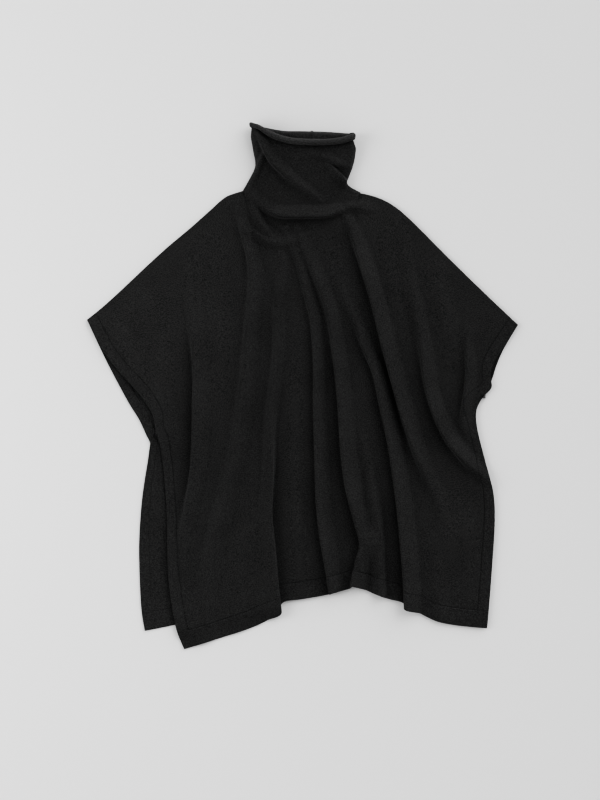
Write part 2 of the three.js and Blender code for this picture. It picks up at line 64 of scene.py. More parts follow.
# Heights of the middle of the wall above the surface
FLOOR_HEIGHT = WALL / 2
FRONT_HEIGHT = WALL + LAYER_GAP + WALL / 2
NECK_HEIGHT = 0.0076
SHOULDER_HEIGHT = (FLOOR_HEIGHT + FRONT_HEIGHT) / 2
MOUTH_BACK_HEIGHT = FLOOR_HEIGHT + 2 * ROLL_RADIUS
MOUTH_FRONT_HEIGHT = MOUTH_BACK_HEIGHT + 0.011

# Shares of the panels' edges
ARMHOLE_SHARE = 0.33
NECK_ENDS = (0.36, 0.63)

# Outlines of the laid pieces, each from its left or top end
OUTLINES: dict[str, Points] = {
    "shoulder_left": (
        (-0.388, 0.12), (-0.346, 0.155), (-0.256, 0.239), (-0.202, 0.285), (-0.166, 0.317),
        (-0.138, 0.341), (-0.107, 0.352),
    ),
    "shoulder_right": (
        (0.104, 0.348), (0.132, 0.341), (0.161, 0.327), (0.194, 0.3), (0.266, 0.228),
        (0.338, 0.158), (0.388, 0.111),
    ),
    "neck_front": (
        (-0.107, 0.352), (-0.092, 0.32), (-0.07, 0.294), (-0.04, 0.284), (0.0, 0.282),
        (0.045, 0.281), (0.072, 0.292), (0.09, 0.318), (0.104, 0.348),
    ),
    "neck_back": (
        (-0.107, 0.352), (-0.073, 0.341), (-0.032, 0.336), (0.014, 0.336), (0.058, 0.339),
        (0.104, 0.348),
    ),
    "front_sleeve_left": (
        (-0.388, 0.12), (-0.357, 0.062), (-0.328, 0.024), (-0.302, -0.004), (-0.282, -0.03),
        (-0.268, -0.056), (-0.264, -0.089),
    ),
    "front_slit_left": (
        (-0.264, -0.089), (-0.256, -0.107), (-0.249, -0.16), (-0.244, -0.231), (-0.243, -0.292),
        (-0.24, -0.354), (-0.228, -0.432), (-0.213, -0.473),
    ),
    "front_sleeve_right": (
        (0.388, 0.111), (0.363, 0.073), (0.35, 0.053), (0.341, 0.034), (0.338, 0.018),
        (0.34, -0.002), (0.325, -0.018),
    ),
    "front_slit_right": (
        (0.325, -0.018), (0.315, -0.036), (0.312, -0.055), (0.316, -0.084), (0.329, -0.135),
        (0.343, -0.19), (0.346, -0.24), (0.342, -0.312), (0.335, -0.402), (0.332, -0.435),
    ),
    "front_hem": (
        (-0.213, -0.473), (-0.158, -0.456), (-0.094, -0.435), (-0.06, -0.419), (-0.046, -0.407),
        (-0.034, -0.388), (-0.004, -0.383), (0.032, -0.377), (0.06, -0.371), (0.08, -0.365),
        (0.1, -0.361), (0.136, -0.376), (0.158, -0.383), (0.178, -0.388), (0.194, -0.398),
        (0.235, -0.42), (0.266, -0.428), (0.298, -0.432), (0.332, -0.435),
    ),
    "back_sleeve_left": (
        (-0.388, 0.12), (-0.354, 0.048), (-0.316, -0.024), (-0.294, -0.06), (-0.28, -0.09),
        (-0.274, -0.1),
    ),
    "back_slit_left": (
        (-0.274, -0.1), (-0.278, -0.13), (-0.289, -0.204), (-0.294, -0.28), (-0.293, -0.348),
        (-0.29, -0.402), (-0.284, -0.44),
    ),
    "back_sleeve_right": (
        (0.388, 0.111), (0.363, 0.069), (0.35, 0.04), (0.342, 0.015), (0.334, -0.006),
        (0.322, -0.022),
    ),
    "back_slit_right": (
        (0.322, -0.022), (0.31, -0.05), (0.309, -0.078), (0.318, -0.115), (0.332, -0.17),
        (0.34, -0.222), (0.338, -0.29), (0.332, -0.357), (0.328, -0.42),
    ),
    "back_hem": (
        (-0.284, -0.44), (-0.226, -0.428), (-0.13, -0.404), (-0.039, -0.379), (0.032, -0.366),
        (0.089, -0.358), (0.14, -0.366), (0.184, -0.382), (0.248, -0.404), (0.328, -0.42),
    ),
    "collar_left": (
        (-0.107, 0.352), (-0.094, 0.375), (-0.086, 0.392), (-0.085, 0.404), (-0.088, 0.42),
        (-0.091, 0.437), (-0.094, 0.455), (-0.095, 0.4694),
    ),
    "collar_right": (
        (0.104, 0.348), (0.086, 0.358), (0.08, 0.367), (0.084, 0.379), (0.091, 0.397),
        (0.095, 0.417), (0.096, 0.434), (0.094, 0.448),
    ),
    "collar_top_front": (
        (-0.095, 0.4694), (-0.078, 0.463), (-0.06, 0.452), (-0.038, 0.443), (-0.014, 0.438),
        (0.014, 0.4365), (0.042, 0.4365), (0.068, 0.439), (0.084, 0.4435), (0.094, 0.448),
    ),
    "collar_top_back": (
        (-0.095, 0.4694), (-0.07, 0.461), (-0.036, 0.454), (0.0, 0.453), (0.04, 0.452),
        (0.07, 0.45), (0.094, 0.448),
    ),
}

# Folds: x and y of a place on the crest before it leans, height, half width, and lean for each
# unit of height, towards the right hand of someone who walks down the crest
BODY_FOLDS: dict[str, Points] = {
    "sleeve": (
        (-0.192, 0.289, 0.0, 0.02, 0), (-0.2, 0.19, 0.001, 0.02, 0),
        (-0.197, 0.13, 0.005, 0.019, 0.4), (-0.185, 0.053, 0.011, 0.018, 0.9),
        (-0.180, -0.03, 0.014, 0.017, 1.15), (-0.182, -0.12, 0.014, 0.017, 1.15),
        (-0.191, -0.175, 0.012, 0.017, 1), (-0.204, -0.235, 0.008, 0.018, 0.6),
        (-0.212, -0.285, 0.004, 0.02, 0.2), (-0.206, -0.36, 0.001, 0.022, 0),
        (-0.184, -0.465, 0.0, 0.022, 0),
    ),
    "left_chest": (
        (-0.119, 0.347, 0.0, 0.014, 0), (-0.105, 0.285, 0.006, 0.014, 0.7),
        (-0.09, 0.238, 0.009, 0.016, 0.8), (-0.086, 0.192, 0.009, 0.017, 0.5),
        (-0.09, 0.129, 0.009, 0.019, 0.5), (-0.101, 0.0, 0.01, 0.022, 0.5),
        (-0.118, -0.12, 0.011, 0.024, 0.4), (-0.146, -0.24, 0.011, 0.025, 0.3),
        (-0.166, -0.33, 0.008, 0.026, 0.1), (-0.18, -0.456, 0.003, 0.026, 0),
    ),
    "mid_left": (
        (-0.062, 0.29, 0.0, 0.014, 0), (-0.038, 0.235, 0.003, 0.016, 0),
        (-0.034, 0.205, 0.006, 0.018, 0.1), (-0.042, 0.15, 0.008, 0.016, 0.4),
        (-0.044, 0.06, 0.009, 0.015, 0.4), (-0.058, -0.06, 0.011, 0.014, 0),
        (-0.062, -0.15, 0.012, 0.014, -0.5), (-0.068, -0.231, 0.013, 0.015, -0.9),
        (-0.063, -0.3, 0.013, 0.017, -1.0), (-0.059, -0.36, 0.013, 0.018, -1.05),
        (-0.054, -0.406, 0.013, 0.018, -1.05),
    ),
    "centre_left": (
        (-0.028, 0.284, 0.003, 0.014, 0.2), (-0.014, 0.25, 0.005, 0.014, 0.4),
        (0.0, 0.21, 0.006, 0.014, 0.5), (0.012, 0.165, 0.007, 0.014, 0.7),
        (0.024, 0.12, 0.008, 0.014, 0.9), (0.031, 0.044, 0.01, 0.014, 0.95),
        (0.032, -0.04, 0.011, 0.015, 0.9), (0.036, -0.13, 0.012, 0.016, 1),
        (0.039, -0.2, 0.013, 0.017, 1), (0.045, -0.262, 0.013, 0.017, 1),
        (0.054, -0.315, 0.013, 0.017, 1), (0.062, -0.368, 0.012, 0.017, 1),
    ),
    "centre_right": (
        (-0.006, 0.283, 0.004, 0.015, 0.3), (0.008, 0.245, 0.007, 0.016, 0.5),
        (0.022, 0.212, 0.008, 0.016, 0.5), (0.038, 0.174, 0.009, 0.016, 0.5),
        (0.054, 0.125, 0.01, 0.016, 0.5), (0.066, 0.06, 0.012, 0.016, 0.8),
        (0.074, 0.005, 0.013, 0.016, 0.95), (0.079, -0.051, 0.013, 0.017, 0.95),
        (0.083, -0.11, 0.014, 0.017, 0.95), (0.091, -0.175, 0.014, 0.017, 0.95),
        (0.107, -0.24, 0.013, 0.017, 0.95), (0.117, -0.282, 0.013, 0.017, 0.95),
        (0.11, -0.318, 0.014, 0.017, 1), (0.101, -0.362, 0.014, 0.017, 1),
    ),
    "flap": (
        (0.02, 0.282, 0.0, 0.016, 0), (0.068, 0.084, 0.0, 0.018, 0), (0.105, -0.078, 0.0, 0.018, 0),
        (0.119, -0.135, 0.004, 0.016, 0), (0.127, -0.204, 0.009, 0.017, -0.2),
        (0.134, -0.27, 0.01, 0.016, -0.3), (0.138, -0.374, 0.01, 0.016, -0.3),
    ),
    "inner_right": (
        (0.044, 0.281, 0.0, 0.016, 0), (0.06, 0.215, 0.001, 0.018, 0),
        (0.076, 0.165, 0.003, 0.018, 0.2), (0.093, 0.134, 0.006, 0.017, 0.5),
        (0.115, 0.078, 0.009, 0.016, 0.8), (0.137, 0.028, 0.011, 0.015, 0.95),
        (0.15, -0.025, 0.012, 0.016, 0.95), (0.166, -0.096, 0.013, 0.016, 1),
        (0.179, -0.175, 0.013, 0.017, 1), (0.188, -0.25, 0.014, 0.017, 1),
        (0.195, -0.33, 0.014, 0.017, 1), (0.199, -0.402, 0.014, 0.017, 1),
    ),
    "outer_right": (
        (0.08, 0.304, 0.004, 0.014, 0.1), (0.092, 0.28, 0.007, 0.015, 0.5),
        (0.105, 0.249, 0.01, 0.016, 0.8), (0.118, 0.213, 0.012, 0.016, 0.95),
        (0.138, 0.148, 0.013, 0.016, 0.95), (0.156, 0.075, 0.013, 0.016, 1),
        (0.177, 0.0, 0.014, 0.016, 1), (0.193, -0.06, 0.013, 0.017, 0.95),
        (0.208, -0.11, 0.011, 0.018, 0.8), (0.226, -0.16, 0.008, 0.019, 0.5),
        (0.246, -0.21, 0.005, 0.022, 0.3), (0.262, -0.28, 0.002, 0.025, 0),
        (0.273, -0.428, 0.0, 0.026, 0),
    ),
    "shoulder_to_slit": (
        (0.172, 0.322, 0.0, 0.02, 0), (0.182, 0.235, 0.003, 0.022, 0),
        (0.197, 0.165, 0.006, 0.022, 0.1), (0.213, 0.102, 0.008, 0.019, 0.5),
        (0.224, 0.045, 0.01, 0.017, 0.8), (0.233, -0.005, 0.011, 0.016, 0.95),
        (0.248, -0.05, 0.012, 0.016, 1), (0.268, -0.092, 0.012, 0.016, 0.95),
        (0.296, -0.13, 0.01, 0.017, 0.7), (0.324, -0.158, 0.006, 0.018, 0.3),
        (0.346, -0.176, 0.003, 0.018, 0),
    ),
}
FREE_FOLDS: dict[str, Points] = {
    "armhole_pinch": (
        (0.3, 0.112, 0.0, 0.012, 0), (0.299, 0.075, 0.005, 0.013, 0.6),
        (0.303, 0.03, 0.008, 0.013, 0.9), (0.301, -0.005, 0.009, 0.013, 1),
        (0.296, -0.035, 0.008, 0.013, 0.9), (0.291, -0.064, 0.006, 0.013, 0.6),
        (0.298, -0.1, 0.0, 0.013, 0),
    ),
    "cowl": (
        (-0.1, 0.35, 0.001, 0.013, 0), (-0.084, 0.338, 0.004, 0.014, 0.2),
        (-0.062, 0.321, 0.008, 0.014, 0.4), (-0.04, 0.313, 0.012, 0.015, 0.6),
        (-0.004, 0.313, 0.013, 0.015, 0.65), (0.04, 0.314, 0.013, 0.015, 0.65),
        (0.064, 0.318, 0.01, 0.014, 0.5), (0.088, 0.322, 0.002, 0.013, 0),
        (0.108, 0.318, 0.0, 0.014, 0),
    ),
    "collar_twist": (
        (-0.08, 0.458, 0.002, 0.01, 0.5), (-0.066, 0.432, 0.007, 0.012, 0.8),
        (-0.052, 0.408, 0.009, 0.013, 0.8), (-0.029, 0.384, 0.009, 0.014, 0.6),
        (0.0, 0.358, 0.008, 0.014, 0.1), (0.024, 0.338, 0.004, 0.015, -0.2),
        (0.044, 0.326, 0.0, 0.015, 0),
    ),
    "collar_kink_left": (
        (-0.064, 0.426, 0.0, 0.009, 0), (-0.071, 0.41, 0.005, 0.009, 0.3),
        (-0.082, 0.386, 0.005, 0.009, 0.3), (-0.093, 0.362, 0.001, 0.009, 0),
    ),
    "collar_kink_right": (
        (0.042, 0.404, 0.0, 0.009, 0), (0.052, 0.388, 0.006, 0.01, -0.5),
        (0.065, 0.374, 0.009, 0.01, -0.6), (0.08, 0.361, 0.007, 0.01, -0.4),
        (0.098, 0.35, 0.002, 0.011, 0),
    ),
    "collar_break": (
        (-0.006, 0.414, 0.0, 0.014, 0), (0.018, 0.417, 0.004, 0.014, -0.1),
        (0.044, 0.411, 0.005, 0.013, 0.3), (0.06, 0.402, 0.005, 0.011, 0.5),
        (0.078, 0.396, 0.003, 0.01, 0.2), (0.092, 0.398, 0.0, 0.01, 0),
    ),
}

# Soft hollows and swells between the folds, which the solids leave out
SOFT_CREASES: dict[str, Points] = {
    "neck_hook": (
        (-0.094, 0.345, 0.0, 0.011, 0), (-0.087, 0.322, 0.004, 0.012, -0.2),
        (-0.079, 0.300, 0.006, 0.012, -0.3), (-0.068, 0.283, 0.006, 0.011, -0.4),
        (-0.058, 0.273, 0.004, 0.010, -0.3), (-0.046, 0.266, 0.0, 0.010, 0),
    ),
    "neck_swag": (
        (-0.114, 0.302, 0.0, 0.011, 0), (-0.096, 0.281, 0.004, 0.011, -0.3),
        (-0.074, 0.266, 0.006, 0.011, -0.4), (-0.052, 0.257, 0.006, 0.012, -0.4),
        (-0.028, 0.257, 0.004, 0.012, -0.2), (-0.008, 0.266, 0.0, 0.012, 0),
    ),
    "cowl_end": (
        (0.076, 0.322, 0.0, 0.012, 0), (0.094, 0.323, 0.004, 0.013, 0.2),
        (0.114, 0.321, 0.0035, 0.014, 0.2), (0.136, 0.312, 0.0, 0.015, 0),
    ),
    "cowl_hollow": (
        (-0.062, 0.290, 0.0, 0.012, 0), (-0.044, 0.279, -0.0028, 0.012, 0),
        (-0.024, 0.277, -0.0032, 0.012, 0), (0.002, 0.283, -0.0022, 0.012, 0),
        (0.030, 0.286, 0.0, 0.012, 0),
    ),
    "left_step_swell": (
        (-0.086, -0.200, 0.0, 0.012, 0), (-0.084, -0.270, 0.0028, 0.013, 0),
        (-0.079, -0.340, 0.0034, 0.013, 0), (-0.073, -0.405, 0.0030, 0.013, 0),
    ),
    "left_edge_lift": (
        (-0.238, -0.230, 0.0, 0.015, 0), (-0.236, -0.290, 0.0030, 0.016, 0),
        (-0.232, -0.350, 0.0045, 0.017, 0), (-0.226, -0.405, 0.0035, 0.017, 0),
        (-0.216, -0.455, 0.0, 0.016, 0),
    ),
    "sleeve_swell": (
        (-0.300, 0.175, 0.0, 0.034, 0), (-0.272, 0.112, 0.0035, 0.034, 0),
        (-0.258, 0.040, 0.0040, 0.030, 0), (-0.250, -0.040, 0.0030, 0.026, 0),
        (-0.240, -0.110, 0.0, 0.024, 0),
    ),
    "sleeve_tip_swell": (
        (-0.352, 0.120, 0.0, 0.028, 0), (-0.330, 0.085, 0.0025, 0.028, 0),
        (-0.306, 0.035, 0.0025, 0.026, 0), (-0.288, -0.020, 0.0, 0.022, 0),
    ),
    "left_yoke_swell": (
        (-0.165, 0.280, 0.0, 0.030, 0), (-0.160, 0.215, 0.0030, 0.030, 0),
        (-0.150, 0.150, 0.0035, 0.028, 0), (-0.147, 0.070, 0.0025, 0.026, 0),
        (-0.152, -0.020, 0.0, 0.024, 0),
    ),
    "right_yoke_swell": (
        (0.150, 0.290, 0.0, 0.026, 0), (0.158, 0.225, 0.0030, 0.026, 0),
        (0.172, 0.150, 0.0030, 0.024, 0), (0.190, 0.075, 0.0, 0.022, 0),
    ),
    "right_sleeve_swell": (
        (0.232, 0.235, 0.0, 0.028, 0), (0.246, 0.165, 0.0040, 0.028, 0),
        (0.262, 0.095, 0.0045, 0.026, 0), (0.270, 0.030, 0.0, 0.024, 0),
    ),
    "right_side_swell": (
        (0.262, -0.190, 0.0, 0.030, 0), (0.290, -0.260, 0.0035, 0.030, 0),
        (0.298, -0.330, 0.0030, 0.028, 0), (0.296, -0.410, 0.0, 0.026, 0),
    ),
    "right_hem_swell": (
        (0.232, -0.240, 0.0, 0.024, 0), (0.240, -0.320, 0.0025, 0.024, 0),
        (0.246, -0.390, 0.0030, 0.022, 0), (0.250, -0.425, 0.0015, 0.022, 0),
    ),
    "left_hem_swell": (
        (-0.100, -0.250, 0.0, 0.024, 0), (-0.108, -0.330, 0.0025, 0.024, 0),
        (-0.114, -0.400, 0.0030, 0.022, 0), (-0.118, -0.441, 0.0015, 0.022, 0),
    ),
    "centre_hollow": (
        (-0.014, 0.060, 0.0, 0.018, 0), (-0.012, -0.060, 0.0020, 0.018, 0),
        (-0.010, -0.190, 0.0025, 0.018, 0), (-0.006, -0.300, 0.0020, 0.018, 0),
        (-0.002, -0.380, 0.0010, 0.018, 0),
    ),
}


def smoothstep(value: Array, low: float, high: float) -> Array:
    """Eases from 0 at low to 1 at high.

    Args:
        value: Values to ease.
        low: Where the result leaves 0.
        high: Where the result reaches 1.

    Returns:
        The eased values.
    """
    part = np.clip((value - low) / (high - low), 0.0, 1.0)
    return part * part * (3 - 2 * part)


def blend(start: Array | float, end: Array | float, part: Array) -> Array:
    """Returns the value that lies a share of the way from start to end."""
    return start + (end - start) * part


def through(points: Array, steps: int) -> Array:
    """Draws a smooth line through points.

    Args:
        points: Places that the line passes, one per row.
        steps: Samples between two neighbouring places.

    Returns:
        The samples, one per row.
    """
    padded = np.vstack([points[:1], points, points[-1:]])
    t = np.arange(steps)[:, None] / steps
    spans = []
    for a, b, c, d in zip(padded, padded[1:], padded[2:], padded[3:]):
        square = (2 * a - 5 * b + 4 * c - d) / 2
        cube = (3 * b - a - 3 * c + d) / 2
        spans.append(b + t * ((c - a) / 2 + t * (square + t * cube)))
    return np.vstack([*spans, points[-1:]])


def reach_along(points: Array, axis: int) -> Array:
    """Measures how far each point lies along its row or column.

    Args:
        points: A grid of points, with the coordinates last.
        axis: The axis to walk along.

    Returns:
        The walked length up to each point.
    """
    steps = np.linalg.norm(np.diff(points, axis=axis), axis=-1)
    start = np.zeros_like(np.take(steps, [0], axis=axis))
    return np.concatenate([start, np.cumsum(steps, axis=axis)], axis=axis)


def unit(vectors: Array) -> Array:
    """Scales each vector to length 1."""
    return vectors / np.maximum(np.linalg.norm(vectors, axis=-1, keepdims=True), TINY)


def graded(start: float, end: float, count: int, fine: tuple[float, ...]) -> list[float]:
    """Places samples between two ends, close together near both.

    Args:
        start: The first place.
        end: The last place.
        count: Even steps between the fine ones.
        fine: Distances from each end of the extra samples, increasing.

    Returns:
        The places, from the first to the last.
    """
    low = [start, *(start + d for d in fine)]
    high = [end - d for d in reversed(fine)]
    middle = np.linspace(low[-1], high[0], count + 1)[1:-1]
    return [*low, *middle.tolist(), *high, end]


class Edge:
    """A smooth edge through given points, walked by its length."""

    STEPS = 24

    def __init__(self, *parts: tuple[str, float]) -> None:
        """Joins outlines end to end.

        Args:
            parts: Each outline's name, with a leading minus if it runs backwards, and its share.
        """
        samples = []
        reach = []
        done = 0.0
        for name, share in parts:
            points = np.array(OUTLINES[name.lstrip("-")])
            line = through(points[::-1] if name.startswith("-") else points, self.STEPS)
            walked = reach_along(line, 0)
            samples.append(line)
            reach.append(done + share * walked / walked[-1])
            done += share
        self.samples = np.vstack(samples)
        self.reach = np.concatenate(reach)

    def at(self, share: Array) -> Array:
        """Returns the places at shares of the edge, coordinates last."""
        columns = [np.interp(share, self.reach, self.samples[:, k]) for k in (0, 1)]
        return np.stack(columns, axis=-1)


@dataclass(frozen=True)
class FlatSheet:
    """A flat sheet between four edges: u runs to the right, v downwards."""

    top: Edge
    bottom: Edge
    left: Edge
    right: Edge

    def at(self, u: Array, v: Array) -> Array:
        """Maps the sheet's own coordinates to the plan.

        Args:
            u: Shares across, from the left.
            v: Shares down, from the top, in the shape of u.

        Returns:
            Places in plan, coordinates last.
        """
        wide, tall = u[..., None], v[..., None]
        across = self.left.at(v) * (1 - wide) + self.right.at(v) * wide
        down = self.top.at(u) * (1 - tall) + self.bottom.at(u) * tall
        ends = np.array([0.0, 1.0])
        top_left, top_right = self.top.at(ends)
        low_left, low_right = self.bottom.at(ends)
        high = top_left * (1 - wide) + top_right * wide
        low = low_left * (1 - wide) + low_right * wide
        return across + down - high * (1 - tall) - low * tall


class CrestLine:
    """One fold's crest, with its height, half width, lean and side at each step."""

    STEPS = 8

    def __init__(self, rows: Points) -> None:
        """Cuts the crest into short straight steps.

        Args:
            rows: Rows of x, y, height, half width and lean.
        """
        table = np.array(rows)
        line = through(table[:, :2], self.STEPS)
        place = np.linspace(0, len(table) - 1, len(line))
        sizes = [np.interp(place, np.arange(len(table)), table[:, k]) for k in (2, 3, 4)]
        along = unit(np.gradient(line, axis=0))
        self.steps = np.column_stack([line, *sizes, along[:, 1], -along[:, 0]])
        margin = table[:, 3].max()
        self.low = line.min(axis=0) - margin
        self.high = line.max(axis=0) + margin

    def nearest(self, points: Array) -> tuple[Array, Array]:
        """Finds the nearest place on the crest.

        Args:
            points: Places in plan, one per row.

        Returns:
            The distances, and the crest's sizes and side there.
        """
        best = np.full(len(points), np.inf)
        values = np.zeros((len(points), 5))
        for a, b in zip(self.steps, self.steps[1:]):
            run = b[:2] - a[:2]
            part = np.clip((points - a[:2]) @ run / (run @ run), 0, 1)
            gap = np.linalg.norm(points - a[:2] - part[:, None] * run, axis=1)
            closer = gap < best
            best[closer] = gap[closer]
            values[closer] = a[2:] + part[closer, None] * (b - a)[2:]
        return best, values


def share_up(rise: Array, height: Array) -> Array:
    """Returns how far up a fold's flank each place lies, from 0 to 1."""
    return rise / np.where(height == 0, 1.0, height)


class FoldField:
    """All the folds that lift and push one sheet of cloth.

    A crest rolls over further than its foot does, by the power CREST_ROLL.
    """

    CREST_ROLL = 1.4

    def __init__(self, *tables: dict[str, Points]) -> None:
        """Takes the folds of some tables together."""
        self.crests = [CrestLine(rows) for table in tables for rows in table.values()]

    def effect(self, places: Array) -> tuple[Array, Array]:
        """Adds up what the folds do at each place.

        Args:
            places: Places in plan, coordinates last.

        Returns:
            The lift, and the sideways push.
        """
        flat = places.reshape(-1, 2)
        lift = np.zeros(len(flat))
        push = np.zeros_like(flat)
        for crest in self.crests:
            near = np.flatnonzero(np.all((flat > crest.low) & (flat < crest.high), axis=1))
            gap, values = crest.nearest(flat[near])
            height, half, lean = values[:, 0], values[:, 1], values[:, 2]
            share = np.minimum(gap / half, 1.0)
            rise = height * (1 + np.cos(np.pi * share)) / 2
            lift[near] += rise
            rolled = rise * np.maximum(share_up(rise, height), 0) ** (self.CREST_ROLL - 1)
            push[near] += (rolled * lean)[:, None] * values[:, 3:]
        return lift.reshape(places.shape[:-1]), push.reshape(places.shape)


class NestedFolds(FoldField):
    """The back's lower folds, which lie in the hollows of the front's.

    A fold keeps the share HEIGHT of what it has above LEAST, and the share HALF of its half width.
    SHIFT moves it under the front fold's lean, as a share of that lean.
    """

    HEIGHT = 0.25
    HALF = 0.7
    SHIFT = 0.35
    LEAST = 0.009

    def __init__(self, table: dict[str, Points]) -> None:
        """Takes the front's folds and presses them down."""
        super().__init__(table)
        for crest in self.crests:
            steps = crest.steps
            steps[:, :2] += (steps[:, 2] * steps[:, 4] * self.SHIFT)[:, None] * steps[:, 5:]
            steps[:, 2] = np.maximum(0, steps[:, 2] - self.LEAST) * self.HEIGHT
            steps[:, 3] *= self.HALF
            steps[:, 4] = 0


def distance_to(places: Array, line: Array) -> Array:
    """Measures how far places lie from a line.

    Args:
        places: Places in plan, coordinates last.
        line: The line's samples, one per row.

    Returns:
        The distance of each place.
    """
    flat = places.reshape(-1, 2)
    best = np.full(len(flat), np.inf)
    for a, b in zip(line, line[1:]):
        run = b - a
        part = np.clip((flat - a) @ run / max(run @ run, TINY), 0, 1)
        best = np.minimum(best, np.linalg.norm(flat - a - part[:, None] * run, axis=1))
    return best.reshape(places.shape[:-1])


class EdgeForm(Enum):
    """How the wall ends at one of its sides."""

    TURNED = "turned and rounded on both faces"
    SEAM = "linked to a neighbour, with a shallow groove"
    FLUSH = "linked to a neighbour, almost level"
    JOINED = "knitted on to a neighbour, loop by loop, without a step"


@dataclass
class ClothGrid:
    """A grid of places at the middle of a wall, with its directions and knit coordinates."""

    points: Array
    out: Array
    knit: Array

    @classmethod
    def over(cls, points: Array, tube: bool = False) -> "ClothGrid":
        """Works out directions and knit coordinates.

        Args:
            points: Rows from the top down, columns from the left, coordinates last.
            tube: Whether the last column meets the first.

        Returns:
            The grid.
        """
        wide = points
        if tube:
            wide = np.concatenate([points[:, -1:], points, points[:, :1]], axis=1)
        down = np.gradient(wide, axis=0)
        across = np.gradient(wide, axis=1)
        out = unit(np.cross(down, across))
        if tube:
            out = out[:, 1:-1]
        walked = reach_along(points, 1)
        wales = walked - walked[:, points.shape[1] // 2, None]
        courses = -reach_along(points, 0)
        return cls(points, out, np.stack([wales, courses], axis=-1))

    def part(self, rows: slice | Array, columns: slice) -> "ClothGrid":
        """Cuts out some of its rows and columns."""
        return ClothGrid(
            self.points[rows, columns], self.out[rows, columns], self.knit[rows, columns]
        )


@dataclass
class ClothWall:
    """One layer of knit with its real thickness, as a closed mesh."""

    grid: ClothGrid
    proud: float = 0.0
    tube: bool = False
    top: EdgeForm = EdgeForm.SEAM
    bottom: EdgeForm = EdgeForm.SEAM
    left: EdgeForm = EdgeForm.SEAM
    right: EdgeForm = EdgeForm.SEAM
    shoulder: Array | None = None
    lower_turns: bool = False
    groove: float = 0.0005
    groove_width: float = 0.0014
    flush_share: float = 0.25
    least: float = 0.00004

    def _end(self, outer: Array, inner: Array, gap: Array, form: EdgeForm) -> tuple[Array, Array]:
        """Thins the wall towards one side.

        Args:
            outer: The outer face's distance from the middle.
            inner: The inner face's distance from the middle.
            gap: The distance of each place from that side.
            form: How the wall ends there.

        Returns:
            Both faces' distances, thinned.
        """
        half = WALL / 2
        if form is EdgeForm.TURNED:
            turn = np.sqrt(1 - (1 - np.minimum(gap / half, 1)) ** 2)
            turned = outer * turn + self.least, inner * turn + self.least
            return np.minimum(outer, turned[0]), np.minimum(inner, turned[1])
        if form is EdgeForm.JOINED:
            return outer, inner
        depth = self.groove if form is EdgeForm.SEAM else self.groove * self.flush_share
        return outer - depth * (1 - smoothstep(gap, 0, self.groove_width)), inner

    def _over_shoulder(self, outer: Array, inner: Array, gap: Array) -> tuple[Array, Array]:
        """Rolls one face over to the other at the shoulder, where the two panels meet.

        Args:
            outer: The outer face's distance from the middle.
            inner: The inner face's distance from the middle.
            gap: The distance of each place from the shoulder's edge.

        Returns:
            Both faces' distances, with the face rolled in the shoulder's columns.
        """
        left = 1 - np.sqrt(1 - (1 - np.minimum(gap / WALL, 1)) ** 2)
        cut = self.shoulder * left * (outer + inner - self.least)
        if self.lower_turns:
            return outer, inner - cut
        return outer - cut, inner

    def _faces(self) -> tuple[Array, Array]:
        """Works out how far each face lies from the middle, over the whole grid."""
        points = self.grid.points
        outer = np.full(points.shape[:2], WALL / 2 + self.proud)
        inner = np.full(points.shape[:2], WALL / 2)
        down = reach_along(points, 0)
        outer, inner = self._end(outer, inner, down, self.top)
        if self.shoulder is not None:
            outer, inner = self._over_shoulder(outer, inner, down)
        outer, inner = self._end(outer, inner, down[-1] - down, self.bottom)
        if not self.tube:
            along = reach_along(points, 1)
            outer, inner = self._end(outer, inner, along, self.left)
            outer, inner = self._end(outer, inner, along[:, -1:] - along, self.right)
        return outer, inner

    def build(self, name: str) -> bpy.types.Object:
        """Makes the wall's mesh object.

        Args:
            name: The object's name.

        Returns:
            The object, linked to the scene.
        """
        grid = self.grid
        rows, columns = grid.points.shape[:2]
        outer, inner = self._faces()
        high = grid.points + grid.out * outer[..., None]
        low = grid.points - grid.out * inner[..., None]
        vertices = np.concatenate([high.reshape(-1, 3), low.reshape(-1, 3)])
        knit = np.tile(grid.knit.reshape(-1, 2), (2, 1))
        last = columns if self.tube else columns - 1
        i, j = np.meshgrid(np.arange(rows - 1), np.arange(last), indexing="ij")
        beside = (j + 1) % columns
        a, b, c, d = (
            (i * columns + j).ravel(),
            ((i + 1) * columns + j).ravel(),
            ((i + 1) * columns + beside).ravel(),
            (i * columns + beside).ravel(),
        )
        under = rows * columns
        faces = [np.column_stack([a, b, c, d]), under + np.column_stack([d, c, b, a])]
        j = np.arange(last)
        beside = (j + 1) % columns
        for row, first, second in ((0, beside, j), (rows - 1, j, beside)):
            one, two = row * columns + first, row * columns + second
            faces.append(np.column_stack([one, under + one, under + two, two]))
        if not self.tube:
            i = np.arange(rows - 1)
            for column, first, second in ((0, i, i + 1), (columns - 1, i + 1, i)):
                one, two = first * columns + column, second * columns + column
                faces.append(np.column_stack([one, under + one, under + two, two]))
        piece = mesh_object(name, vertices, np.concatenate(faces), knit)
        if self.tube:
            side = np.zeros(len(piece.data.polygons), dtype=np.int32)
            side[len(faces[0]) : 2 * len(faces[0])] = 1
            piece.data.polygons.foreach_set("material_index", side)
        return piece


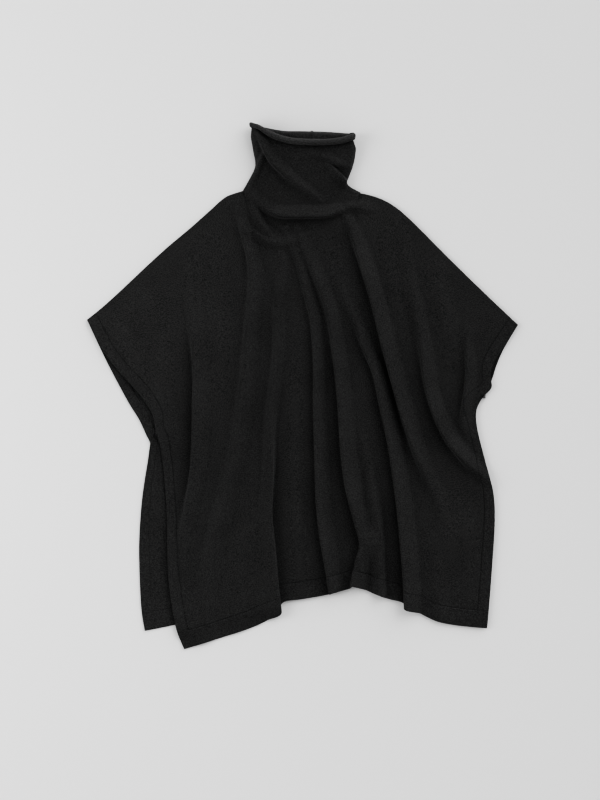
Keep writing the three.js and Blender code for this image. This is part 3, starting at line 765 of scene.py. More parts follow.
def mesh_object(name: str, vertices: Array, faces: Array, knit: Array | None) -> bpy.types.Object:
    """Makes a smooth mesh object.

    Args:
        name: The object's name.
        vertices: Places, one per row.
        faces: Corner numbers, one face per row.
        knit: Knit coordinates of each vertex, or none.

    Returns:
        The object, linked to the scene.
    """
    mesh = bpy.data.meshes.new(name)
    mesh.from_pydata(vertices.tolist(), [], faces.tolist())
    mesh.polygons.foreach_set("use_smooth", np.ones(len(mesh.polygons), dtype=bool))
    if knit is not None:
        layer = mesh.uv_layers.new(name="knit")
        corners = np.empty(len(mesh.loops), dtype=np.int32)
        mesh.loops.foreach_get("vertex_index", corners)
        layer.data.foreach_set("uv", knit[corners].astype(np.float32).ravel())
    mesh.update()
    piece = bpy.data.objects.new(name, mesh)
    bpy.context.scene.collection.objects.link(piece)
    return piece


class LaidPoncho:
    """The surfaces that the laid garment's panels and collar follow."""

    TACK_GAP = 0.00008
    HEM_SHARE = 0.05
    END_SHARE = 0.01
    NECK_BLEND = 0.045
    SHOULDER_BLEND = 0.026
    DROP = (0.009, 0.034)
    THINNED = 6
    SEAM_GAP = 0.0003

    def __init__(self) -> None:
        """Draws the outlines and folds."""
        side = (ARMHOLE_SHARE, 1 - ARMHOLE_SHARE)
        self.front_sheet = FlatSheet(
            self._top("neck_front"),
            Edge(("front_hem", 1)),
            Edge(("front_sleeve_left", side[0]), ("front_slit_left", side[1])),
            Edge(("front_sleeve_right", side[0]), ("front_slit_right", side[1])),
        )
        self.back_sheet = FlatSheet(
            self._top("neck_back"),
            Edge(("back_hem", 1)),
            Edge(("back_sleeve_left", side[0]), ("back_slit_left", side[1])),
            Edge(("back_sleeve_right", side[0]), ("back_slit_right", side[1])),
        )
        top_down = (Edge(("-collar_left", 1)), Edge(("-collar_right", 1)))
        self.collar_front = FlatSheet(
            Edge(("collar_top_front", 1)), Edge(("neck_front", 1)), *top_down
        )
        self.collar_back = FlatSheet(
            Edge(("collar_top_back", 1)), Edge(("neck_back", 1)), *top_down
        )
        self.front_folds = FoldField(BODY_FOLDS, FREE_FOLDS, SOFT_CREASES)
        self.back_folds = NestedFolds(BODY_FOLDS)
        self.back_hem = Edge(("back_hem", 1)).samples
        self.neck_seam = Edge(("neck_front", 1)).samples
        self.shoulders = [Edge((name, 1)).samples for name in ("shoulder_left", "shoulder_right")]

    @staticmethod
    def _top(neckline: str) -> Edge:
        """Joins the two shoulders and a neckline into a panel's top edge."""
        start, end = NECK_ENDS
        return Edge(("shoulder_left", start), (neckline, end - start), ("shoulder_right", 1 - end))

    def _near_shoulder(self, places: Array) -> Array:
        """Returns 1 on the shoulder seams, down to 0 away from them."""
        gap = np.minimum(*(distance_to(places, line[:: self.THINNED]) for line in self.shoulders))
        return 1 - smoothstep(gap, 0, self.SHOULDER_BLEND)

    def front(self, u: Array, v: Array) -> Array:
        """Maps the front's own coordinates to space.

        Args:
            u: Shares across, from the left.
            v: Shares down, from the shoulders.

        Returns:
            Places at the middle of the wall.
        """
        places = self.front_sheet.at(u, v)
        lift, push = self.front_folds.effect(places)
        below = np.interp(places[..., 0], self.back_hem[:, 0], self.back_hem[:, 1]) - places[..., 1]
        rest = blend(FRONT_HEIGHT, FLOOR_HEIGHT, smoothstep(below, *self.DROP))
        neck = 1 - smoothstep(distance_to(places, self.neck_seam[:: self.THINNED]), 0, self.NECK_BLEND)
        rest = blend(rest, NECK_HEIGHT, neck)
        seam = SHOULDER_HEIGHT + (WALL + self.SEAM_GAP) / 2
        height = blend(rest, seam, self._near_shoulder(places)) + lift
        return np.concatenate([places + push, height[..., None]], axis=-1)

    def back(self, u: Array, v: Array) -> Array:
        """Maps the back's own coordinates to space.

        Args:
            u: Shares across, from the left.
            v: Shares down, from the shoulders.

        Returns:
            Places at the middle of the wall.
        """
        places = self.back_sheet.at(u, v)
        lift, _ = self.back_folds.effect(places)
        seam = SHOULDER_HEIGHT - (WALL + self.SEAM_GAP) / 2
        height = blend(FLOOR_HEIGHT, seam, self._near_shoulder(places)) + lift
        return np.concatenate([places, height[..., None]], axis=-1)

    @classmethod
    def above_hem(cls, sheet: FlatSheet, u: Array, distance: float) -> Array:
        """Returns how far down the place at a distance above the hem lies, in each column."""
        run = sheet.at(u, np.full_like(u, 1 - cls.HEM_SHARE)) - sheet.at(u, np.ones_like(u))
        return 1 - distance * cls.HEM_SHARE / np.linalg.norm(run, axis=-1)

    @classmethod
    def end_speed(cls, sheet: FlatSheet, v: float, end: int) -> float:
        """Returns how many metres one unit of u takes at the left (0) or right (1) end."""
        inside = cls.END_SHARE if end == 0 else 1 - cls.END_SHARE
        ends = sheet.at(np.array([end, inside]), np.array([v, v]))
        return float(np.linalg.norm(ends[1] - ends[0]) / cls.END_SHARE)


@dataclass
class PanelGrid:
    """A panel and its bands as one grid of cloth, with the rows and columns of each piece."""

    cloth: ClothGrid
    panel_rows: Array
    armhole_rows: slice
    slit_rows: slice
    hem_rows: slice
    left_columns: slice
    panel_columns: slice
    right_columns: slice
    shoulder: Array


@dataclass
class PanelSizes:
    """How finely a panel's cloth is drawn."""

    shoulder_columns: int
    neck_columns: int
    armhole_rows: int
    slit_rows: int
    band_columns: int = 5
    hem_rows: int = 5
    fine: tuple[float, ...] = (0.0001, 0.0004, 0.0009, 0.0017, 0.0032)
    samples: int = 900
    bend_weight: float = 0.009
    seam_gap: float = 0.0001
    hem_gap: float = 0.0001
    neck_blend: float = 0.006

    def _row_columns(self, sheet: FlatSheet, surface: Surface, v: float) -> Array:
        """Places the columns of one row, closer together where the cloth bends.

        Args:
            sheet: The panel's flat sheet.
            surface: The panel's surface.
            v: The row, as a share of the way down.

        Returns:
            The columns, as shares across.
        """
        left = LaidPoncho.end_speed(sheet, v, 0)
        right = LaidPoncho.end_speed(sheet, v, 1)
        band = EDGE_BAND - self.seam_gap / 2
        inside = EDGE_BAND + self.seam_gap / 2
        band_ends = np.array(graded(0, band, self.band_columns, self.fine[:-1]))
        u = np.linspace(inside / left, 1 - inside / right, self.samples)
        points = surface(u, np.full_like(u, v))
        walked = reach_along(points, 0)
        along = unit(np.gradient(points, axis=0))
        bend = np.linalg.norm(np.gradient(along, axis=0), axis=1)
        spread = walked + self.bend_weight * np.cumsum(bend)
        marks = np.interp(NECK_ENDS, u, spread)
        fine = np.interp(self.fine, walked, spread)
        last = np.interp(walked[-1] - np.array(self.fine[::-1]), walked, spread)
        places = np.concatenate([
            spread[:1],
            fine,
            np.linspace(fine[-1], marks[0], self.shoulder_columns + 1)[1:],
            np.linspace(marks[0], marks[1], self.neck_columns + 1)[1:],
            np.linspace(marks[1], last[0], self.shoulder_columns + 1)[1:],
            last[1:],
            spread[-1:],
        ])
        inner = np.interp(places, spread, u)
        return np.concatenate([band_ends / left, inner, 1 - band_ends[::-1] / right])

    def draw(self, sheet: FlatSheet, surface: Surface) -> PanelGrid:
        """Draws the whole panel with its bands.

        Args:
            sheet: The panel's flat sheet.
            surface: The panel's surface.

        Returns:
            The grid, and which of its rows and columns belong to each piece.
        """
        middle = sheet.at(np.array([0.5, 0.5]), np.array([0.0, 1.0]))
        length = float(np.linalg.norm(middle[1] - middle[0]))
        fine = tuple(step / length for step in self.fine)
        tack = (ARMHOLE_SHARE - LaidPoncho.TACK_GAP, ARMHOLE_SHARE + LaidPoncho.TACK_GAP)
        armhole = graded(0, tack[0], self.armhole_rows, fine)
        slit = graded(tack[1], 1, self.slit_rows, fine)
        hem = graded(0, HEM_DEPTH - self.hem_gap / 2, self.hem_rows, self.fine)[::-1]
        columns = []
        downs = []
        for share in armhole + slit:
            u = self._row_columns(sheet, surface, share * self._hem_line(sheet))
            columns.append(u)
            downs.append(share * LaidPoncho.above_hem(sheet, u, HEM_DEPTH + self.hem_gap / 2))
        u = self._row_columns(sheet, surface, self._hem_line(sheet))
        for distance in hem:
            columns.append(u)
            downs.append(LaidPoncho.above_hem(sheet, u, distance))
        columns, downs = np.array(columns), np.array(downs)
        cloth = ClothGrid.over(surface(columns, downs))
        rows = len(armhole)
        ends = rows + len(slit)
        keep = [*range(rows - len(fine)), *range(rows + len(fine), ends)]
        band = self.band_columns + 2 * len(self.fine) - 1
        start, end = NECK_ENDS
        top = columns[0]
        entered = smoothstep(top, start, start + self.neck_blend)
        left_again = smoothstep(top, end - self.neck_blend, end)
        neckline = entered * (1 - left_again)
        return PanelGrid(
            cloth,
            np.array(keep),
            slice(0, rows),
            slice(rows, ends),
            slice(ends, None),
            slice(0, band),
            slice(band, -band),
            slice(-band, None),
            1 - neckline,
        )

    def _hem_line(self, sheet: FlatSheet) -> float:
        """Returns how far down the hem seam lies in the middle column."""
        middle = np.array([0.5])
        return float(LaidPoncho.above_hem(sheet, middle, HEM_DEPTH + self.hem_gap / 2)[0])


@dataclass
class Piece:
    """A finished object, with what it stands for."""

    thing: bpy.types.Object
    nodes: tuple[str, ...]

    def register(self, *finishes: bpy.types.Material) -> None:
        """Gives the object its finish and tells the frame what it is.

        Args:
            finishes: The finish, and that of the wrong side where it shows.
        """
        for finish in finishes:
            self.thing.data.materials.append(finish)
        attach(self.thing, "root")
        if self.nodes:
            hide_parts(*self.nodes)
        triangles = sum(len(face.vertices) - 2 for face in self.thing.data.polygons)
        log.info("%s: %d triangles, stands for %s", self.thing.name, triangles, self.nodes or "no solid")


@dataclass(frozen=True)
class SeamStitches:
    """Linking stitches that cross a seam, one every few millimetres."""

    pitch: float = 0.0042
    length: float = 0.0026
    radius: float = 0.00032
    slant: float = 0.35
    depth: float = 0.00030
    middle_depth: float = 0.4
    end_depth: float = 2.0
    taper: float = 0.08
    rings: int = 4
    sides: int = 6

    def strand(self, path: Array, out: Array, side: Array) -> tuple[Array, Array]:
        """Makes one stitch, thinned at both ends where it dives into the cloth.

        Args:
            path: Places along the stitch.
            out: The direction out of the cloth.
            side: The direction across the stitch.

        Returns:
            Its vertices and faces.
        """
        share = blend(self.taper, 1 - self.taper, np.linspace(0, 1, len(path)))
        thickness = self.radius * np.sqrt(np.maximum(np.sin(np.pi * share), 0))
        turn = np.linspace(0, 2 * np.pi, self.sides, endpoint=False)
        ring = np.cos(turn)[:, None] * side + np.sin(turn)[:, None] * out
        vertices = (path[:, None, :] + thickness[:, None, None] * ring).reshape(-1, 3)
        faces = []
        for i in range(len(path) - 1):
            for j in range(self.sides):
                beside = (j + 1) % self.sides
                faces.append(
                    (i * self.sides + j, i * self.sides + beside,
                     (i + 1) * self.sides + beside, (i + 1) * self.sides + j)
                )
        return vertices, np.array(faces)

    def build(self, name: str, seams: list[tuple[Array, Array]]) -> bpy.types.Object:
        """Sews along some seams.

        Args:
            name: The object's name.
            seams: For each seam, places on its surface and the directions out of the cloth there.

        Returns:
            The stitches as one object.
        """
        vertices, faces = [], []
        count = 0
        for line, out in seams:
            walked = reach_along(line, 0)
            marks = np.arange(self.pitch / 2, walked[-1], self.pitch)
            at = np.stack([np.interp(marks, walked, line[:, k]) for k in range(3)], axis=1)
            up = unit(np.stack([np.interp(marks, walked, out[:, k]) for k in range(3)], axis=1))
            along = unit(np.gradient(at, axis=0))
            across = unit(np.cross(up, along))
            for place, normal, run, cross in zip(at, up, along, across):
                direction = unit(cross + self.slant * run)
                t = np.linspace(-1, 1, self.rings)
                sink = self.depth * blend(self.middle_depth, self.end_depth, t ** 2)
                path = place + direction * (t * self.length / 2)[:, None] - normal * sink[:, None]
                ring, quads = self.strand(path, normal, unit(np.cross(direction, normal)))
                vertices.append(ring)
                faces.append(quads + count)
                count += len(ring)
        return mesh_object(name, np.concatenate(vertices), np.concatenate(faces), None)


@dataclass
class SideTacks:
    """Bar tacks of thread that hold the front to the back at the top of each slit."""

    bars: int = 6
    pitch: float = 0.0011
    inside: float = 0.006
    outside: float = 0.005
    lift: float = 0.0009
    drop: tuple[float, float] = (0.45, 0.75)
    rings: int = 11
    thread: SeamStitches = SeamStitches(radius=0.00045)

    def _bar(self, start: Array, end: Array) -> tuple[Array, Array]:
        """Makes one stitch that hops over the front's edge down to the back.

        Args:
            start: Where it leaves the front's cloth.
            end: Where it enters the back's cloth.

        Returns:
            Its vertices and faces.
        """
        share = np.linspace(0, 1, self.rings)
        path = blend(start, end, share[:, None])
        path[:, 2] = start[2] + self.lift * np.sin(np.pi * share)
        path[:, 2] -= (start[2] - end[2]) * smoothstep(share, *self.drop)
        run = unit(end - start)
        side = unit(np.cross(run, np.array([0.0, 0.0, 1.0])))
        return self.thread.strand(path, unit(np.cross(side, run)), side)

    def build(self, shape: LaidPoncho) -> None:
        """Sews both tacks.

        Args:
            shape: The surfaces that the cloth follows.
        """
        vertices, faces = [], []
        count = 0
        top = np.array([0.0, 0.0, WALL / 2])
        for end, outwards in ((0.0, -1), (1.0, 1)):
            share = np.array([ARMHOLE_SHARE])
            edge = shape.front(np.array([end]), share)[0]
            under = shape.back(np.array([end]), share)[0]
            for k in range(self.bars):
                along = np.array([0.0, (k - (self.bars - 1) / 2) * self.pitch, 0.0])
                start = edge + top + along - np.array([outwards * self.inside, 0.0, 0.0])
                finish = edge + along + np.array([outwards * self.outside, 0.0, 0.0])
                finish[2] = under[2] + WALL / 2
                ring, quads = self._bar(start, finish)
                vertices.append(ring)
                faces.append(quads + count)
                count += len(ring)
        self.thing = mesh_object("side_tacks", np.concatenate(vertices), np.concatenate(faces), None)

    def dress(self, thread: bpy.types.Material) -> None:
        """Finishes the tacks."""
        Piece(self.thing, ()).register(thread)


class Layer(Enum):
    """The two halves of the body."""

    FRONT = "front"
    BACK = "back"


@dataclass
class BodyHalf:
    """One half of the body: its panel, hem band and edge bands, and the seams between them."""

    layer: Layer
    sizes: PanelSizes
    flat: tuple[float, float]
    area: float
    proud: float = BAND_EXTRA
    first_sewn_row: int = 2

    def build(self, shape: LaidPoncho) -> None:
        """Makes the half's pieces.

        Args:
            shape: The surfaces that the cloth follows.
        """
        front = self.layer is Layer.FRONT
        sheet = shape.front_sheet if front else shape.back_sheet
        self.grid = self.sizes.draw(sheet, shape.front if front else shape.back)
        g = self.grid
        side = self.layer.value
        lower = not front
        cloth = g.cloth
        self.pieces = [
            self._piece(
                "panel", cloth.part(g.panel_rows, g.panel_columns),
                top=EdgeForm.JOINED, shoulder=g.shoulder[g.panel_columns], lower_turns=lower,
            ),
            self._piece(
                "hem_band", cloth.part(g.hem_rows, slice(None)), proud=self.proud,
                bottom=EdgeForm.TURNED, left=EdgeForm.TURNED, right=EdgeForm.TURNED,
            ),
        ]
        for rows, trim, top in ((g.armhole_rows, "armhole", g.shoulder), (g.slit_rows, "slit", None)):
            for columns, hand in ((g.left_columns, "left"), (g.right_columns, "right")):
                free = {hand: EdgeForm.TURNED}
                shoulder = None if top is None else top[columns]
                self.pieces.append(
                    self._piece(
                        f"{trim}_band_{hand}", cloth.part(rows, columns), proud=self.proud,
                        shoulder=shoulder, lower_turns=lower, bottom=EdgeForm.FLUSH, **free,
                    )
                )
        self.stitches = SeamStitches().build(f"{side}_seam_stitches", self._seams())

    def _piece(self, name: str, grid: ClothGrid, **wall) -> Piece:
        """Makes one closed piece of knit."""
        node = f"{self.layer.value}_{name}"
        return Piece(ClothWall(grid, **wall).build(f"knit_{node}"), (node,))

    def _seams(self) -> list[tuple[Array, Array]]:
        """Finds the hem seam and the two seams of the edge bands, on the garment's outside."""
        g = self.grid
        sign = 1 if self.layer is Layer.FRONT else -1
        points, out = g.cloth.points, g.cloth.out
        face = points + sign * out * (WALL / 2)
        seams = []
        rows = slice(self.first_sewn_row, g.slit_rows.stop)
        for column in (g.left_columns.stop, g.right_columns.start):
            before = column - 1
            middle = (face[rows, before] + face[rows, column]) / 2
            seams.append((middle, sign * out[rows, before]))
        hem = g.hem_rows.start
        columns = slice(g.left_columns.stop, g.right_columns.start)
        seams.append(((face[hem - 1, columns] + face[hem, columns]) / 2, sign * out[hem, columns]))
        return seams

    def dress(self, knit: bpy.types.Material, thread: bpy.types.Material, lies_on: tuple[str, ...]) -> None:
        """Finishes the pieces.

        Args:
            knit: The knit's finish.
            thread: The sewing thread's finish.
            lies_on: Names of what the half lies on. Not used.
        """
        for piece in self.pieces:
            piece.register(knit)
        Piece(self.stitches, ()).register(thread)


@dataclass
class FunnelCollar:
    """The one-piece funnel collar: a flattened tube whose edge rolls outwards."""

    front_columns: int = 150
    back_columns: int = 84
    corner: tuple[float, ...] = (0.0, 0.003, 0.007, 0.012, 0.018, 0.025, 0.033, 0.042)
    rise_rows: int = 92
    roll_rows: int = 18
    flat: tuple[float, float] = (0.44, 0.19)
    area: float = 0.073
    flatness: float = 0.6
    front_rise: float = 0.3
    back_rise: float = 0.5
    calm_from: float = 0.92
    reach_from: float = 0.8
    slim_width: float = 0.25
    side_reach: float = 0.014
    probe: float = 0.002
    slim: float = 0.6
    seam_turn: float = 1.40
    seam_half: float = 0.017
    seam_height: float = 0.0012
    seam_columns: int = 17
    seam_under: tuple[float, float] = (math.radians(80), math.radians(150))
    base: float = 0.00002
    base_rows: tuple[float, ...] = (0.022, 0.0112, 0.0056, 0.0024, 0.0008, 0.0)

    def _round(self, turn: Array, rise: Array) -> Array:
        """Returns 0 at the tube's left and right ends and 1 between them."""
        ends = self.shape.collar_front
        zero, one = np.zeros_like(turn), np.ones_like(turn)
        span = np.linalg.norm(ends.at(one, 1 - rise) - ends.at(zero, 1 - rise), axis=-1)
        inwards = np.minimum(np.minimum(np.abs(turn), np.abs(1 - turn)), np.abs(2 - turn)) * span
        return np.sin(np.pi / 2 * np.minimum(1, inwards / self.side_reach)) ** self.flatness

    def _point(self, turn: Array, rise: Array) -> Array:
        """Maps the tube's coordinates to the middle of its wall.

        Args:
            turn: 0 to 1 across the front from the left, then to 2 back across the back.
            rise: 0 at the neckline, 1 at the mouth.

        Returns:
            Places in space.
        """
        turn = np.mod(turn, 2)
        on_front = turn < 1
        front_place = self.shape.collar_front.at(np.minimum(turn, 1), 1 - rise)
        back_place = self.shape.collar_back.at(np.minimum(2 - turn, 1), 1 - rise)
        places = np.where(on_front[..., None], front_place, back_place)
        front = blend(NECK_HEIGHT, MOUTH_FRONT_HEIGHT, smoothstep(rise, self.front_rise, 1))
        back = blend(FLOOR_HEIGHT, MOUTH_BACK_HEIGHT, smoothstep(rise, self.back_rise, 1))
        rounding = self._round(turn, rise)
        sign = np.where(on_front, 1, -1)
        height = (front + back) / 2 + sign * rounding * (front - back) / 2
        calm = rounding * (1 - smoothstep(rise, self.calm_from, 1)) * on_front
        lift, push = self.shape.front_folds.effect(places)
        places = places + push * calm[..., None]
        return np.concatenate([places, (height + lift * calm)[..., None]], axis=-1)

    def _radius(self, turn: Array) -> Array:
        """Returns the roll's radius, slimmer at the collar's left end."""
        from_left = np.minimum(turn, 2 - turn)
        return ROLL_RADIUS * blend(self.slim, 1, smoothstep(from_left, 0, self.slim_width))

    def _place(self, turn: Array, rise: Array) -> tuple[Array, Array, Array]:
        """Finds places on the wall, with the directions up the tube and out of it.

        Args:
            turn: Places around the tube.
            rise: Places up the tube.

        Returns:
            Places, directions up, and directions out.
        """
        step = self.probe
        up = unit(self._point(turn, rise + step) - self._point(turn, rise - step))
        along = unit(self._point(turn + step, rise) - self._point(turn - step, rise))
        out = unit(np.cross(along, up))
        reach = WALL / 2 + 2 * self._radius(turn) * smoothstep(rise, self.reach_from, 1)
        points = self._point(turn, rise)
        points[..., 0] -= out[..., 0] * reach * (1 - self._round(turn, rise))
        return points, up, out

    def build(self, shape: LaidPoncho) -> None:
        """Makes the collar.

        Args:
            shape: The surfaces that the cloth follows.
        """
        self.shape = shape
        inner = self.corner[-1]
        front = np.linspace(inner, 1 - inner, self.front_columns)
        back = np.linspace(1 + inner, 2 - inner, self.back_columns)
        seam = self.seam_turn + np.linspace(-self.seam_half, self.seam_half, self.seam_columns)
        back = np.sort(np.concatenate([back[np.abs(back - self.seam_turn) > self.seam_half], seam]))
        corner = np.array(self.corner[:-1])
        turns = np.concatenate([corner, front, 1 - corner[:0:-1], 1 + corner, back, 2 - corner[:0:-1]])
        rows = self.base + np.array(self.base_rows)
        rises = np.concatenate([np.linspace(1, rows[0], self.rise_rows), rows[1:]])
        turn, rise = np.meshgrid(turns, rises)
        body, _, out = self._place(turn, rise)
        curls = ROLL_CURL * np.arange(self.roll_rows, 0, -1)[:, None, None] / self.roll_rows
        turn, rise = np.meshgrid(turns, np.ones(self.roll_rows))
        rim, up, rim_out = self._place(turn, rise)
        radius = self._radius(turn)[..., None]
        outwards = rim_out * np.cos(curls) - up * np.sin(curls)
        roll = rim + rim_out * radius - outwards * radius
        points = np.concatenate([roll, body])
        outs = np.concatenate([outwards, out])
        ridge = self.seam_height * (1 - smoothstep(np.abs(turns - self.seam_turn), 0, self.seam_half))
        seen = np.concatenate([1 - smoothstep(curls[:, 0, 0], *self.seam_under), np.ones(len(rises))])
        points -= outs * (seen[:, None] * ridge)[..., None]
        grid = ClothGrid.over(points, tube=True)
        self.grid = ClothGrid(points, outs, grid.knit)
        wall = ClothWall(self.grid, tube=True, top=EdgeForm.TURNED, bottom=EdgeForm.JOINED)
        self.piece = Piece(wall.build("knit_collar"), ("collar",))

    def dress(self, knit: bpy.types.Material, purl: bpy.types.Material) -> None:
        """Finishes the collar.

        Args:
            knit: The finish of the knit's right side.
            purl: The finish of its wrong side, which the roll shows. It is lighter than the right side,
                partly for its nap and partly as painted highlight.
        """
        self.piece.register(knit, purl)


def linear(hex_colour: str) -> tuple[float, float, float, float]:
    """Turns an sRGB hex colour into the linear one that shaders take.

    Args:
        hex_colour: Six hex digits.

    Returns:
        Red, green, blue and an opaque alpha.
    """
    parts = [int(hex_colour[k : k + 2], 16) / 255 for k in (0, 2, 4)]
    red, green, blue = [p / 12.92 if p <= 0.04045 else ((p + 0.055) / 1.055) ** 2.4 for p in parts]
    return (red, green, blue, 1.0)


def add_node(tree: bpy.types.NodeTree, kind: str, inputs: dict | None = None, **settings):
    """Adds a shader node.

    Args:
        tree: The node tree.
        kind: The node's type name.
        inputs: For each input's name or number, a value, or another node's output to link.
        settings: The node's own settings.

    Returns:
        The node.
    """
    node = tree.nodes.new(kind)
    for name, value in settings.items():
        setattr(node, name, value)
    for name, value in (inputs or {}).items():
        if isinstance(value, bpy.types.NodeSocket):
            tree.links.new(value, node.inputs[name])
        else:
            node.inputs[name].default_value = value
    return node


@dataclass(frozen=True)
class FeltedWoolKnit:
    """Felted fine wool jersey in near-black charcoal: matt, with a soft nap and melange flecks."""

    # Felted wool is matt and nearly black. Its nap, the sheen here, catches light along the fold
    # crests and the roll, and paler fibres spun in among the dark ones give a fine grey speckle.
    title: str = "felted charcoal wool knit"
    dark: str = "212121"
    light: str = "404040"
    nap: str = "8c8c8c"
    # A stitch of this jersey is some 1.5 mm wide and a fleck is one fibre, both too fine to show
    # in the render, so stitches, flecks and fuzz are drawn as coarse as they need to show.
    wale: float = 0.0024
    course: float = 0.0019
    leg_slope: float = 1.5
    stitch_hollow: float = 0.3
    fleck_scale: float = 560.0
    patch_scale: float = 14.0
    fuzz_scale: float = 900.0
    fleck_share: float = 1.85
    patch_share: float = 0.35
    # The stitches also tint the colour: lighter on each loop's top and darker in the hollows between loops.
    # This is painted shade.
    stitch_shade_share: float = 0.25
    tone_base: float = -0.39
    stitch_shade_base: float = -0.1
    stitch_relief: tuple[float, float] = (0.6, 0.0004)
    fuzz_relief: tuple[float, float] = (0.7, 0.0005)
    roughness: float = 0.95
    ior: float = 1.5
    specular: float = 0.15
    sheen: float = 0.25
    sheen_roughness: float = 0.4

    def _maths(self, tree: bpy.types.NodeTree, operation: str, *values):
        """Returns the output of a maths node."""
        return add_node(tree, "ShaderNodeMath", dict(enumerate(values)), operation=operation).outputs[0]

    def _stitches(self, tree: bpy.types.NodeTree):
        """Draws the V of each stitch from the knit's own coordinates.

        Args:
            tree: The node tree.

        Returns:
            A height between 0 and 1.
        """
        knit = add_node(tree, "ShaderNodeUVMap", uv_map="knit").outputs["UV"]
        split = add_node(tree, "ShaderNodeSeparateXYZ", {0: knit})
        wales = self._maths(tree, "DIVIDE", split.outputs[0], self.wale)
        courses = self._maths(tree, "DIVIDE", split.outputs[1], self.course)
        across = self._maths(tree, "PINGPONG", wales, 0.5)
        leg = self._maths(tree, "SINE", self._maths(tree, "MULTIPLY", across, 2 * math.pi))
        slope = self._maths(tree, "MULTIPLY_ADD", across, self.leg_slope, courses)
        wave = self._maths(tree, "COSINE", self._maths(tree, "MULTIPLY", slope, 2 * math.pi))
        along = self._maths(tree, "MULTIPLY_ADD", wave, self.stitch_hollow, 1 - self.stitch_hollow)
        return self._maths(tree, "MULTIPLY", leg, along)

    def material(self) -> bpy.types.Material:
        """Builds the finish."""
        finish = bpy.data.materials.new(self.title)
        finish.use_nodes = True
        tree = finish.node_tree
        tree.nodes.clear()
        place = add_node(tree, "ShaderNodeTexCoord").outputs["Object"]

        def noise(scale: float, detail: float, roughness: float):
            """Returns the value of a noise of this scale."""
            inputs = {"Vector": place, "Scale": scale, "Detail": detail, "Roughness": roughness}
            return add_node(tree, "ShaderNodeTexNoise", inputs).outputs["Fac"]

        stitches = self._stitches(tree)
        flecks = noise(self.fleck_scale, 1, 0.5)
        patches = noise(self.patch_scale, 3, 0.5)
        fuzz = noise(self.fuzz_scale, 2, 0.6)
        tone = self._maths(tree, "MULTIPLY_ADD", flecks, self.fleck_share, self.tone_base)
        tone = self._maths(tree, "ADD", tone, -self.patch_share / 2)
        tone = self._maths(tree, "MULTIPLY_ADD", patches, self.patch_share, tone)
        # Painted shade: the colour darkens in each stitch's hollows and lightens on its loops.
        tone = self._maths(tree, "ADD", tone, self.stitch_shade_base)
        tone = self._maths(tree, "MULTIPLY_ADD", stitches, self.stitch_shade_share, tone)
        tone = add_node(tree, "ShaderNodeClamp", {0: tone}).outputs[0]
        mix = add_node(
            tree, "ShaderNodeMix",
            {0: tone, 6: linear(self.dark), 7: linear(self.light)}, data_type="RGBA",
        )
        strength, depth = self.stitch_relief
        coarse = add_node(
            tree, "ShaderNodeBump", {"Height": stitches, "Strength": strength, "Distance": depth}
        )
        strength, depth = self.fuzz_relief
        fine = add_node(
            tree, "ShaderNodeBump",
            {"Height": self._maths(tree, "ADD", fuzz, flecks), "Strength": strength,
             "Distance": depth, "Normal": coarse.outputs[0]},
        )
        shader = add_node(
            tree, "ShaderNodeBsdfPrincipled",
            {"Base Color": mix.outputs[2], "Roughness": self.roughness, "IOR": self.ior,
             "Specular IOR Level": self.specular, "Sheen Weight": self.sheen,
             "Sheen Roughness": self.sheen_roughness, "Sheen Tint": linear(self.nap),
             "Normal": fine.outputs[0]},
        )
        add_node(tree, "ShaderNodeOutputMaterial", {0: shader.outputs[0]})
        return finish


@dataclass(frozen=True)
class SewingThread:
    """Spun wool sewing thread in the knit's own colour: matt, a little darker in the seams."""

    # Twisted thread is matt like the knit but has no flecks, so a seam reads as a thin dark line.
    colour: str = "141415"

    def material(self) -> bpy.types.Material:
        """Builds the finish."""
        finish = bpy.data.materials.new("charcoal wool sewing thread")
        finish.use_nodes = True
        tree = finish.node_tree
        tree.nodes.clear()
        shader = add_node(
            tree, "ShaderNodeBsdfPrincipled",
            {"Base Color": linear(self.colour), "Roughness": 0.9, "Specular IOR Level": 0.2,
             "Sheen Weight": 0.15},
        )
        add_node(tree, "ShaderNodeOutputMaterial", {0: shader.outputs[0]})
        return finish


@dataclass(frozen=True)
class StudioPaper:
    """Matt pale grey backdrop paper, so that the dark cloth stands out."""

    # Uncoated paper has no gloss, so it shows only the soft shadow round the garment.
    colour: str = "e6e6e6"

    def material(self) -> bpy.types.Material:
        """Builds the finish."""
        finish = bpy.data.materials.new("pale backdrop paper")
        finish.use_nodes = True
        shader = finish.node_tree.nodes["Principled BSDF"]
        shader.inputs["Base Color"].default_value = linear(self.colour)
        shader.inputs["Roughness"].default_value = 0.9
        shader.inputs["Specular IOR Level"].default_value = 0.2
        return finish


@dataclass(frozen=True)
class SoftLight:
    """A square soft box that faces the middle of the garment: its place, width and power."""

    name: str
    place: tuple[float, float, float]
    width: float
    watts: float

    def build(self) -> bpy.types.Object:
        """Hangs the light."""
        lamp = bpy.data.lights.new(self.name, "AREA")
        lamp.shape = "SQUARE"
        lamp.size = self.width
        lamp.energy = self.watts
        light = bpy.data.objects.new(self.name, lamp)
        light.location = self.place
        light.rotation_euler = Vector(self.place).to_track_quat("Z", "Y").to_euler()
        bpy.context.scene.collection.objects.link(light)
        return light


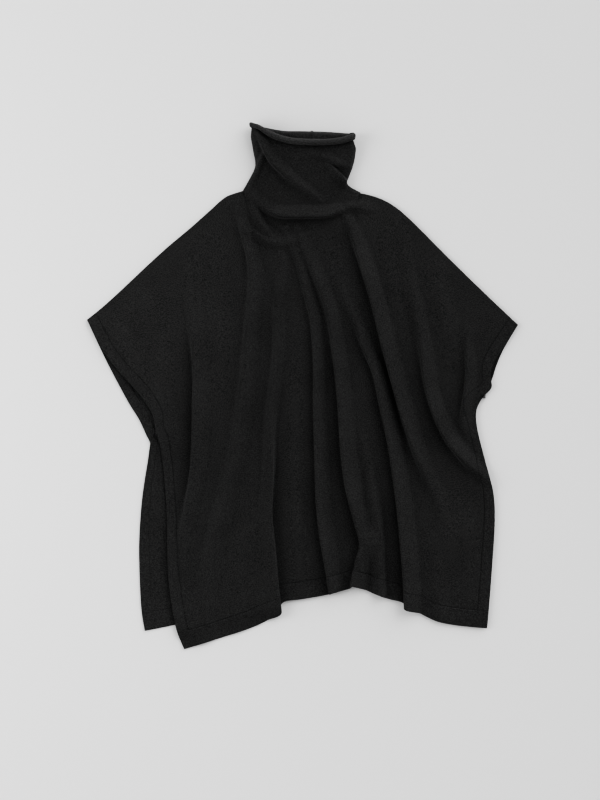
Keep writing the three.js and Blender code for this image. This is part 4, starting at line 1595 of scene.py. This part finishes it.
@dataclass
class Studio:
    """Pale floor, soft light and the camera that looks straight down."""

    floor_size: float = 9.0
    overhead: float = 0.07
    horizon: float = 1.35
    window: tuple[float, float, float] = (0.62, 0.69, 0.38)
    window_glow: float = 3.9
    window_edge: float = 6.0
    fill: SoftLight = SoftLight("fill soft box", (-2.0, 0.1, 1.2), 1.4, 28.0)
    # The steepest look of this curve keeps the folds apart in near-black cloth, and its soft
    # shoulder keeps the pale paper even.
    tone_curve: str = "AgX"
    contrast: str = "AgX - Very High Contrast"
    exposure: float = -0.1
    gamma: float = 0.98
    camera_place: tuple[float, float, float] = (-0.0045, -0.0243, 3.202)
    lens: float = 80.0
    sensor: float = 36.0

    def _room(self) -> bpy.types.World:
        """Lights the room from pale walls: bright low down, most on the window's side, dim above.

        Returns:
            The world.
        """
        world = bpy.data.worlds.new("soft room light")
        world.use_nodes = True
        tree = world.node_tree
        way = add_node(tree, "ShaderNodeTexCoord").outputs["Generated"]
        up = add_node(tree, "ShaderNodeSeparateXYZ", {0: way}).outputs["Z"]
        low = add_node(tree, "ShaderNodeMath", {0: 1.0, 1: up}, operation="SUBTRACT", use_clamp=True)
        facing = add_node(
            tree, "ShaderNodeVectorMath", {0: way, 1: self.window}, operation="DOT_PRODUCT"
        )
        toward = add_node(tree, "ShaderNodeClamp", {0: facing.outputs["Value"]})
        spot = add_node(
            tree, "ShaderNodeMath", {0: toward.outputs[0], 1: self.window_edge}, operation="POWER"
        )
        walls = add_node(
            tree, "ShaderNodeMath", {0: low.outputs[0], 1: self.horizon, 2: self.overhead},
            operation="MULTIPLY_ADD",
        )
        strength = add_node(
            tree, "ShaderNodeMath", {0: spot.outputs[0], 1: self.window_glow, 2: walls.outputs[0]},
            operation="MULTIPLY_ADD",
        )
        background = tree.nodes["Background"]
        background.inputs["Color"].default_value = (1.0, 1.0, 1.0, 1.0)
        tree.links.new(strength.outputs[0], background.inputs["Strength"])
        return world

    def build(self) -> None:
        """Sets up the floor, the light and the camera."""
        half = self.floor_size / 2
        corners = np.array([(-half, -half, 0), (half, -half, 0), (half, half, 0), (-half, half, 0)])
        floor = mesh_object("floor", corners, np.array([(0, 1, 2, 3)]), None)
        floor.data.materials.append(StudioPaper().material())
        self.fill.build()
        scene = bpy.context.scene
        scene.world = self._room()
        scene.view_settings.view_transform = self.tone_curve
        scene.view_settings.look = self.contrast
        scene.view_settings.exposure = self.exposure
        scene.view_settings.gamma = self.gamma
        lens = bpy.data.cameras.new("camera")
        lens.lens = self.lens
        lens.sensor_fit = "VERTICAL"
        lens.sensor_height = self.sensor
        camera = bpy.data.objects.new("camera", lens)
        camera.location = self.camera_place
        scene.collection.objects.link(camera)
        scene.camera = camera


def main() -> None:
    """Builds the garment, finishes it and sets up the studio."""
    shape = LaidPoncho()
    knit = FeltedWoolKnit().material()
    # The purl side is drawn lighter than the right side. Part of that is its real nap. The rest is painted
    # highlight for the light that the roll and the inside of the collar catch.
    purl = FeltedWoolKnit(
        title="felted charcoal wool knit, purl side", dark="262626", light="4b4b4b", sheen=0.35
    ).material()
    thread = SewingThread().material()
    back = BodyHalf(
        Layer.BACK, PanelSizes(shoulder_columns=62, neck_columns=48, armhole_rows=34, slit_rows=62),
        flat=(0.96, 0.80), area=0.44, proud=0.0,
    )
    front = BodyHalf(
        Layer.FRONT, PanelSizes(shoulder_columns=92, neck_columns=84, armhole_rows=48, slit_rows=88),
        flat=(0.96, 0.82), area=0.46,
    )
    back.build(shape)
    back.dress(knit, thread, ("floor",))
    front.build(shape)
    front.dress(knit, thread, ("knit_back_panel",))
    collar = FunnelCollar()
    collar.build(shape)
    collar.dress(knit, purl)
    tacks = SideTacks()
    tacks.build(shape)
    tacks.dress(thread)
    Studio().build()


if __name__ == "__main__":
    logging.basicConfig(level=logging.INFO, format="%(message)s")
    main()
